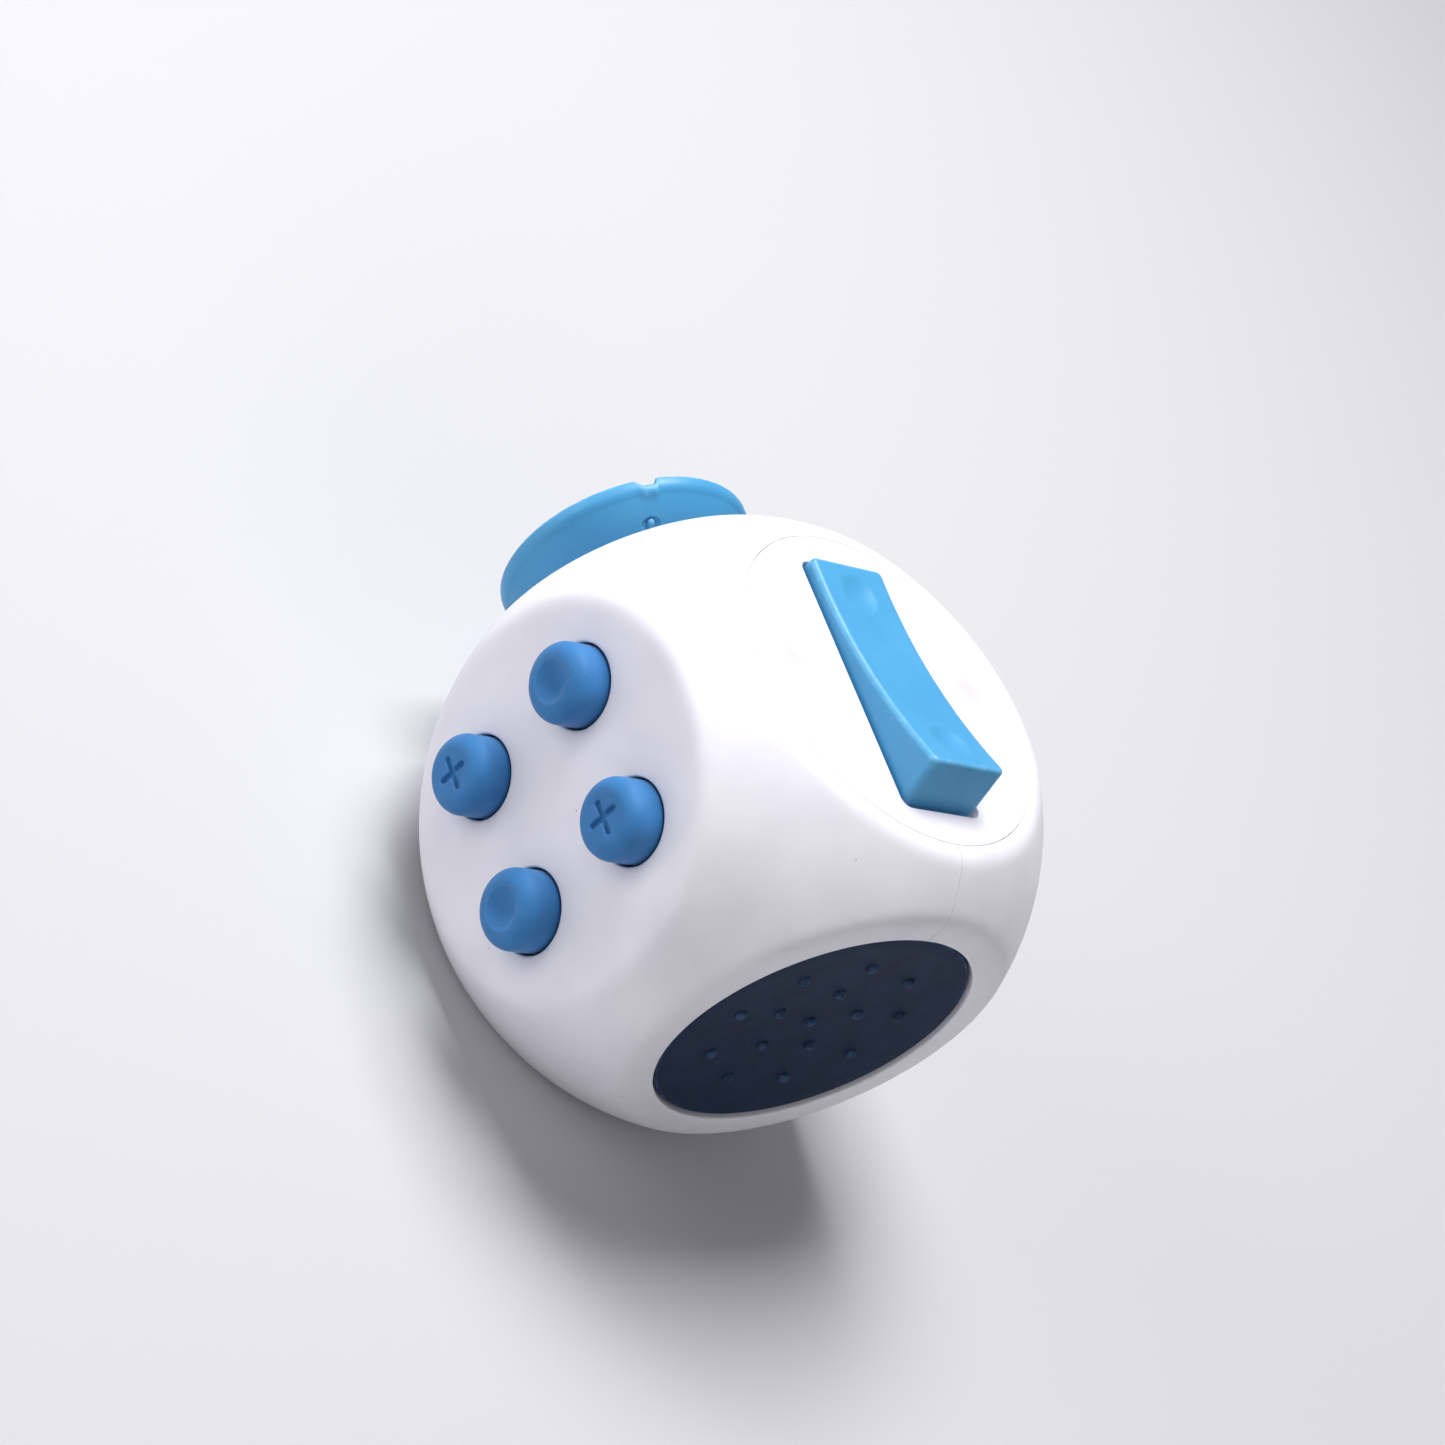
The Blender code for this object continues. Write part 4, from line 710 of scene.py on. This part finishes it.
def makeRocker():
    r = rocker
    points, rings = [], []

    def addRing(outline, heights):
        rings.append(list(range(len(points), len(points) + len(outline))))
        points.extend((x, y, z) for (x, y), z in zip(outline, heights))

    e = r["edge"]
    # rings over the top, from its spine out, then down over its rounded edge
    insets = [r["halfWidth"] - (r["halfWidth"] - e) * k / 16 for k in range(16)]
    insets += [e * (1 - sin(radians(turn))) for turn in range(0, 91, 15)]
    for inset in insets:
        drop = e - sqrt(max(e * e - max(e - inset, 0) ** 2, 0))
        outline = roundedOutline(r["halfLength"] - inset, r["halfWidth"] - inset, r["corner"] - inset)
        addRing(outline, [rockerTop(x, y) - drop for x, y in outline])
    # down the flared ends and the sides, then round the underside's edge
    side = r["pivotDepth"] / 2
    for share in (0.15, 0.4, 0.7, 1.0):
        wide = r["halfLength"] + r["flare"] * share
        outline = roundedOutline(wide, r["halfWidth"], r["corner"])
        starts = [rockerTop(x * r["halfLength"] / wide, y) - e for x, y in outline]
        addRing(outline, [start + (side - start) * share for start in starts])
    foot, under = r["halfLength"] + r["flare"], r["underEdge"]
    for turn in (0, 30, 60, 90):
        inset = under * (1 - cos(radians(turn)))
        outline = roundedOutline(foot - inset, r["halfWidth"] - inset, r["corner"] - inset)
        addRing(outline, [-r["belly"] + under - under * sin(radians(turn))] * len(outline))
    block = meshFrom(points, gridFaces(rings) + [rings[-1]])
    # the nose below, which rides over the detent
    width, root, tip = r["halfWidth"] - under, -r["belly"] + 0.2, -r["nose"]
    noseOutline = [(-r["noseHalf"], root), (-r["noseTip"], tip), (r["noseTip"], tip), (r["noseHalf"], root)]
    nosePoints = [(x, y, z) for y in (-width, width) for x, z in noseOutline]
    nose = meshFrom(nosePoints, gridFaces([[0, 1, 2, 3], [4, 5, 6, 7]]) + [(0, 1, 2, 3), (7, 6, 5, 4)])
    whole = carve(block, [nose], "UNION")
    whole = carve(whole, [rodMesh(r["pinHole"], (0, -r["pinReach"], 0), (0, r["pinReach"], 0), 48)])
    pivot = face - r["pivotDepth"]
    whole.transform(Matrix.Translation((0, 0, pivot)) @ Matrix.Rotation(radians(-r["tilt"]), 4, "Y"))
    finishPiece("flip_rocker", whole, "top", "sky_blue_plastic")

    spots = [(r["screwX"], sign * r["screwY"]) for sign in (-1, 1)]
    sheet = plateMesh([(*spot, r["sinkRadius"], r["sinkDepth"]) for spot in spots])
    # the slot's mouth opens towards the face: how much wider, and at what height
    steps = [(0.15, outside), (0.15, face), (0.045, face - 0.06), (0.0, face - 0.15), (0.0, 0)]
    slotPoints, slotRings = [], []
    for wider, z in steps:
        outline = roundedOutline(
            r["slotHalfLength"] + wider, r["slotHalfWidth"] + wider, r["slotCorner"] + wider, 8, 4, 6)
        slotRings.append(list(range(len(slotPoints), len(slotPoints) + len(outline))))
        slotPoints += [(x, y, z) for x, y in outline]
    slot = meshFrom(slotPoints, gridFaces(slotRings) + [slotRings[0][::-1], slotRings[-1]])
    wide, reach = r["pinGroove"], r["pinGrooveReach"]
    cutters = [slot, boxMesh((-wide, -reach, 0), (wide, reach, pivot + 1))]
    cutters += [screwHole(*spot, 0) for spot in spots]
    finishPiece("rocker_face_plate", carve(sheet, cutters), "top", "white_shell", sharp=30)
    print("rocker done")


button = {
    "radius": 3.0, "rise": 2.8, "shoulder": 1.25, "dishRadius": 1.6, "dishDepth": 0.6,
    "flange": 4.1, "flangeThick": 1.1, "stem": 1.5, "stemLength": 1.9, "round": 0.15, "topSkin": 0.2,
    "crossArm": 1.35, "crossHalf": 0.23, "crossDepth": 0.36, "crossSoft": 0.22, "sides": 160,
}


def buttonMesh(at, crossed):
    b = button
    top, flange = face + b["rise"], face - shell["wall"] - gap
    stemTop = flange - b["flangeThick"]
    flat = b["radius"] - b["shoulder"]
    profile = [(flat * i / 36, top) for i in range(36)]
    profile += arcPoints((flat, top - b["shoulder"]), b["shoulder"], 90, 0, 12)
    profile += filleted([
        (b["radius"], flange + 1), (b["radius"], flange, b["round"]), (b["flange"], flange, b["round"]),
        (b["flange"], stemTop, b["round"]), (b["stem"], stemTop), (b["stem"], stemTop - b["stemLength"], 0.2),
        (0, stemTop - b["stemLength"])])
    mesh = latheMesh(profile, b["sides"])
    for vertex in mesh.vertices:
        x, y = vertex.co.xy
        if vertex.co.z < top - b["topSkin"]:
            continue
        if crossed:
            alongX = sqrt(max(abs(x) - b["crossArm"] + b["crossHalf"], 0) ** 2 + y * y)
            alongY = sqrt(max(abs(y) - b["crossArm"] + b["crossHalf"], 0) ** 2 + x * x)
            inside = (b["crossHalf"] - min(alongX, alongY)) / b["crossSoft"] + 0.5
            share = min(max(inside, 0), 1)
            vertex.co.z -= b["crossDepth"] * share * share * (3 - 2 * share)
        else:
            inside = 1 - (x * x + y * y) / b["dishRadius"] ** 2
            vertex.co.z -= b["dishDepth"] * softened(inside)
    mesh.transform(Matrix.Translation((*at, 0)))
    return mesh


def makeButtons():
    out = shell["buttonAt"]
    for node, x, y, crossed in (
            ("button_dished_upper", -out, out, False), ("button_dished_lower", out, -out, False),
            ("button_crossed_upper", out, out, True), ("button_crossed_lower", -out, -out, True)):
        finishPiece(node, buttonMesh((x, y), crossed), "front", "blue_silicone", sharp=50)
    print("buttons done")


stick = {
    "rise": 7.26, "radius": 10.07, "thick": 4.5, "dish": 1.0, "lip": 0.3, "band": 1.6, "taper": 4.5,
    "bandBulge": 1.1, "flankBulge": 0.6,
    "socketRoof": 1.0, "shaft": 1.5, "neck": 1.9, "skirt": 6.6, "skirtThick": 1.0, "skirtAngle": 48.0,
    "skirtRise": 0.2, "opening": 3.8, "foot": 2.4, "footThick": 0.8, "footDrop": 3.0,
    "notchAt": -31.0, "notchWidth": 10.5, "notchDepth": 0.55, "notchHigh": 1.9, "notchReach": 1.3,
    "notchSteep": 4.0, "notchGentle": 1.6,
    # the small round mark that moulding leaves in the cap's flank, with a nub in its middle
    "gateAt": -32.0, "gateRadius": 8.19, "gateDrop": 2.95, "gateTilt": 52.0, "gateSize": 0.8,
    "gateStretch": (0.35, 1.0, 0.75), "nubSize": 0.3, "nubStretch": (1.0, 1.0, 1.3), "nubSunk": 0.15,
    "pinHole": 0.8, "pinReach": 4.1, "screwAt": 8.747, "sides": 320,
}


def bowlPoints(radius, depth, rim, steps):
    return [(radius * i / steps, rim - depth * (1 - (i / steps) ** 2)) for i in range(steps + 1)]


def capMesh():
    s = stick
    rim, lip = face + s["rise"], s["lip"]
    under = rim - s["thick"]
    bore, roof = s["shaft"] + closeGap, rim - s["dish"] - s["socketRoof"]
    bulge, foot = s["bandBulge"], rim - s["band"]
    band = [(s["radius"], rim - lip - 0.1)]
    band += arcPoints((s["radius"] - bulge, foot + bulge), bulge, 0, -50, 8)
    startR, startZ = band[-1]
    flank = []
    for step in range(1, 25):
        share = step / 24
        flank.append((
            startR + (s["radius"] - s["taper"] - startR) * share + s["flankBulge"] * sin(pi * share),
            startZ + (under - startZ) * share))
    profile = [
        *bowlPoints(s["radius"] - lip, s["dish"], rim, 28),
        *arcPoints((s["radius"] - lip, rim - lip), lip, 78, 0, 6),
        *band, *flank, (bore, under), (bore, roof), (0, roof)]
    mesh = latheMesh(profile, s["sides"])
    for vertex in mesh.vertices:
        x, y, z = vertex.co
        fromMiddle = Matrix.Rotation(radians(-s["notchAt"]), 2) @ Vector((x, y))
        angle = fromMiddle.angle_signed(Vector((1, 0)), 0.0) * 180 / pi if fromMiddle.length > 1 else 90
        share = abs(angle) / (s["notchWidth"] / 2)
        outward = (sqrt(x * x + y * y) - s["radius"] + s["notchReach"]) / s["notchReach"]
        depth = (z - rim + s["notchHigh"]) / s["notchHigh"]
        if share < 1 and outward > 0 and depth > 0:
            shape = min((1 - share) * s["notchSteep" if angle > 0 else "notchGentle"], 1.0)
            vertex.co.z -= s["notchDepth"] * shape * min(outward * 1.4, 1.0) * depth
    return mesh


def makeStick():
    s = stick
    rim = face + s["rise"]
    turn = radians(s["gateAt"])
    spot = Vector((s["gateRadius"] * cos(turn), s["gateRadius"] * sin(turn), rim - s["gateDrop"]))
    around = Matrix.Rotation(turn, 4, "Z") @ Matrix.Rotation(radians(s["gateTilt"]), 4, "Y")
    cap = carve(capMesh(), [ballMesh(s["gateSize"], spot, s["gateStretch"], around)])
    nub = spot - around @ Vector((s["nubSunk"], 0, 0))
    cap = carve(cap, [ballMesh(s["nubSize"], nub, s["nubStretch"], around, 24)], "UNION")
    finishPiece("stick_cap", cap, "left", "sky_blue_plastic", sharp=40)

    pivot = face + s["skirtRise"] - s["skirt"]
    edge, inner = 90 - s["skirtAngle"], s["skirt"] - s["skirtThick"]
    capUnder, roof = rim - s["thick"] - gap, rim - s["dish"] - s["socketRoof"] - gap
    neckMeets = 90 - Vector((s["skirt"], s["neck"])).angle(Vector((1, 0))) * 180 / pi
    shaftMeets = 90 - Vector((inner, s["shaft"])).angle(Vector((1, 0))) * 180 / pi
    foot = pivot - s["footDrop"]
    footTop = foot + s["footThick"]
    stem = latheMesh([
        (0, roof), (s["shaft"], roof), (s["shaft"], capUnder), (s["neck"], capUnder),
        *arcPoints((0, pivot), s["skirt"], neckMeets, edge, 20),
        *arcPoints((0, pivot), inner, edge, shaftMeets, 16),
        (s["shaft"], footTop), (s["foot"], footTop), (s["foot"], foot), (0, foot)], 96)
    reach = s["pinReach"]
    stem = carve(stem, [rodMesh(s["pinHole"], (-reach, 0, pivot), (reach, 0, pivot))])
    finishPiece("stick_stem", stem, "left", "acetal")

    seatRadius = s["skirt"] + gap
    seatTop = sqrt(seatRadius ** 2 - s["opening"] ** 2)
    topAngle = Vector((s["opening"], seatTop)).angle(Vector((1, 0))) * 180 / pi
    lowAngle = Vector((seatRadius, plateUnder - gap - pivot)).angle(Vector((1, 0))) * 180 / pi
    seat = latheMesh([
        (0, outside), (s["opening"], outside), *arcPoints((0, pivot), seatRadius, topAngle, lowAngle, 16),
        (0, pivot)])
    turns = [tau * k / 3 for k in range(3)]
    screws = [screwHole(s["screwAt"] * cos(turn), s["screwAt"] * sin(turn), screwStart) for turn in turns]
    finishPiece("stick_face_plate", carve(plateMesh(), [seat, *screws]), "left", "white_shell", sharp=30)
    print("stick done")


pad = {
    "radius": 12.08, "rimDrop": 0.3, "rim": 1.2, "edge": 0.25, "dish": 0.7,
    "dotRadius": 0.5, "dotRise": 0.4, "dotSunk": 0.02,
    # how many dots, how far from the middle, and how far round from the side's own x axis
    "rings": ((1, 0.0, 0.0), (5, 3.85, -101.0), (9, 7.7, -93.0)),
}


def makePad():
    p = pad
    rim, low = face - p["rimDrop"], flangeTop + gap
    inner = p["radius"] - p["rim"]
    soft = arcPoints((p["radius"] - p["edge"], rim - p["edge"]), p["edge"], 90, 0, 6)
    profile = [*bowlPoints(inner, p["dish"], rim, 40), *soft, (p["radius"], low), (0, low)]
    base = latheMesh(profile, 192)
    tree = dotsTree()
    dots = []
    for count, ringRadius, turn in p["rings"]:
        height = rim - p["dish"] * (1 - (ringRadius / inner) ** 2) - p["dotSunk"]
        dots.append(bakeTree(tree, {
            "Count": count, "Ring Radius": ringRadius, "Turn": radians(turn), "Height": height,
            "Dot Radius": p["dotRadius"], "Dot Rise": p["dotRise"], "Material": navyRubber}))
    finishPiece("thumb_pad", carve(base, dots, "UNION"), "right", "navy_rubber", sharp=50)
    print("pad done")


dial = {
    "radius": 9.0, "recessDepth": 1.6, "drop": 0.4, "edge": 0.3, "bowlRadius": 3.2, "bowl": 0.35,
    "hub": 2.0, "flutes": 8, "fluteRadius": 0.9, "fluteShift": 0.13,
}


def makeDial():
    d = dial
    floor, hubEnd, top = face - d["recessDepth"], plateUnder - gap, face - d["drop"]
    profile = [
        *bowlPoints(d["bowlRadius"], d["bowl"], top, 12),
        *arcPoints((d["radius"] - d["edge"], top - d["edge"]), d["edge"], 90, 0, 5),
        (d["radius"], floor + gap), (d["hub"], floor + gap), (d["hub"], hubEnd), (0, hubEnd)]
    cutters = [screwHole(0, 0, screwStart)]
    for k in range(d["flutes"]):
        turn = tau * (k + d["fluteShift"]) / d["flutes"]
        x, y = d["radius"] * cos(turn), d["radius"] * sin(turn)
        cutters.append(rodMesh(d["fluteRadius"], (x, y, screwStart), (x, y, outside), 48))
    finishPiece("spin_dial", carve(latheMesh(profile, 160), cutters), "bottom", "sky_blue_plastic", sharp=40)
    wide, hole = d["radius"] + gap, d["hub"] + closeGap
    recess = latheMesh([(0, outside), (wide, outside), (wide, floor), (hole, floor), (hole, 0), (0, 0)], 160)
    finishPiece("dial_face_plate", carve(plateMesh(), [recess]), "bottom", "white_shell", sharp=30)
    print("dial done")


roller = {
    "tip": 5.0, "root": 4.2, "teeth": 16, "width": 2.4, "spacing": 2.9, "bore": 1.1,
    "toothBase": 1.0, "taper": 0.5, "ballRadius": 3.0,
}


def makeRollers():
    r = roller
    tree = gearTree()
    for k, name in ((-1, "left"), (0, "middle"), (1, "right")):
        gear = bakeTree(tree, {
            "Teeth": r["teeth"], "Tip Radius": r["tip"], "Root Radius": r["root"],
            "Bore Radius": r["bore"], "Width": r["width"], "Tooth Base": r["toothBase"],
            "Taper": r["taper"], "Material": polishedSteel})
        place = Matrix.Translation((k * r["spacing"], shell["gearsAt"], face - shell["gearHeight"]))
        gear.transform(place @ Matrix.Rotation(pi / 2, 4, "Y"))
        finishPiece(f"roller_gear_{name}", gear, "back", "steel")
    ballTop = (0, shell["ballAt"], face - shell["ballHeight"])
    finishPiece("roller_ball", ballMesh(r["ballRadius"], ballTop, sides=96), "back", "steel")
    print("rollers done")


springs = {
    # node: side, x, y, coil radius, wire radius, turns
    "button_spring_upper": ("front", shell["buttonAt"], shell["buttonAt"], 1.1, 0.125, 3.5),
    "button_spring_lower": ("front", -shell["buttonAt"], -shell["buttonAt"], 1.1, 0.125, 3.5),
    "detent_spring": ("top", 0.0, 0.0, 0.95, 0.125, 4.0),
    "stick_spring": ("left", 0.0, 0.0, 2.9, 0.2, 3.0),
    "ball_spring": ("back", 0.0, shell["ballAt"], 2.4, 0.175, 2.5),
}


def makeSprings():
    tree = springTree()
    for node, (side, x, y, coil, wire, turns) in springs.items():
        toSide = (Matrix.Translation(centre) @ sideTurns[side]).inverted()
        heights = [(toSide @ corner).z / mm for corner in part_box(node)]
        low, high = min(heights) + wire, max(heights) - wire
        mesh = bakeTree(tree, {
            "Turns": turns, "Coil Radius": coil, "Height": high - low, "Wire Radius": wire,
            "Material": springSteel})
        mesh.transform(Matrix.Translation((x, y, low)))
        finishPiece(node, mesh, side, "spring_steel", sharp=60)
    print("springs done")


makeShells()
makeRocker()
makeButtons()
makeStick()
makePad()
makeDial()
makeRollers()
makeSprings()

# every node that keeps its own shape still gets its real finish
for thing in frame["nodes"].values():
    for spot in thing.material_slots:
        spot.material = finishes[spot.material.name.split(".")[0]]
print("carried nodes painted")


studio = {
    # the floor in metres and its drop in millimetres; the camera in ball radii from the middle
    "floorSize": 12.0, "floorDrop": 0.02, "paper": "c2c2c6", "paperRoughness": 0.9,
    "lens": 93.05, "away": 12.0, "aimRight": -0.0231, "aimUp": 0.3278,
    "right": (0.331, 0.699, 0.634), "up": (-0.816, -0.125, 0.564), "back": (0.474, -0.705, 0.529),
    "lights": (
        # from this direction, distance in metres, size in metres, power in watts
        ((-0.42, -0.04, 0.89), 0.55, 0.28, 4.4),
        ((-0.35, -0.85, 0.30), 0.60, 0.35, 1.1),
        ((0.90, -0.25, 0.35), 0.70, 0.30, 0.65),
    ),
    "sky": 0.22,
}


def makeStudio():
    scene = bpy.context.scene
    half, low = studio["floorSize"] / 2, -studio["floorDrop"] * mm
    floorMesh = bpy.data.meshes.new("floor")
    floorCorners = [(x * half, y * half, low) for x, y in ((-1, -1), (1, -1), (1, 1), (-1, 1))]
    floorMesh.from_pydata(floorCorners, [], [(0, 1, 2, 3)])
    floor = bpy.data.objects.new("floor", floorMesh)
    paper = bpy.data.materials.new("seamless_white_paper")
    paper.use_nodes = True
    shader = paper.node_tree.nodes["Principled BSDF"]
    shader.inputs["Base Color"].default_value = hexColour(studio["paper"])
    shader.inputs["Roughness"].default_value = studio["paperRoughness"]
    floorMesh.materials.append(paper)
    scene.collection.objects.link(floor)
    for k, (way, distance, size, power) in enumerate(studio["lights"]):
        lamp = bpy.data.lights.new(f"softbox{k}", "AREA")
        lamp.size, lamp.energy = size, power
        thing = bpy.data.objects.new(f"softbox{k}", lamp)
        thing.location = centre + Vector(way).normalized() * distance
        thing.rotation_euler = Vector(way).to_track_quat("Z", "Y").to_euler()
        scene.collection.objects.link(thing)
    world = bpy.data.worlds.new("studio")
    world.use_nodes = True
    sky = world.node_tree.nodes["Background"]
    sky.inputs[0].default_value = hexColour("ffffff")
    sky.inputs[1].default_value = studio["sky"]
    scene.world = world
    right, up, back = [Vector(studio[k]).normalized() for k in ("right", "up", "back")]
    reach = shell["ballRadius"] * mm
    lensData = bpy.data.cameras.new("camera")
    lensData.lens = studio["lens"]
    camera = bpy.data.objects.new("camera", lensData)
    turn = Matrix((right, up, back)).transposed().to_4x4()
    spot = centre + reach * (studio["aimRight"] * right + studio["aimUp"] * up + studio["away"] * back)
    camera.matrix_world = Matrix.Translation(spot) @ turn
    scene.collection.objects.link(camera)
    scene.camera = camera
    scene.view_settings.view_transform = "Standard"
    print("studio done")


makeStudio()
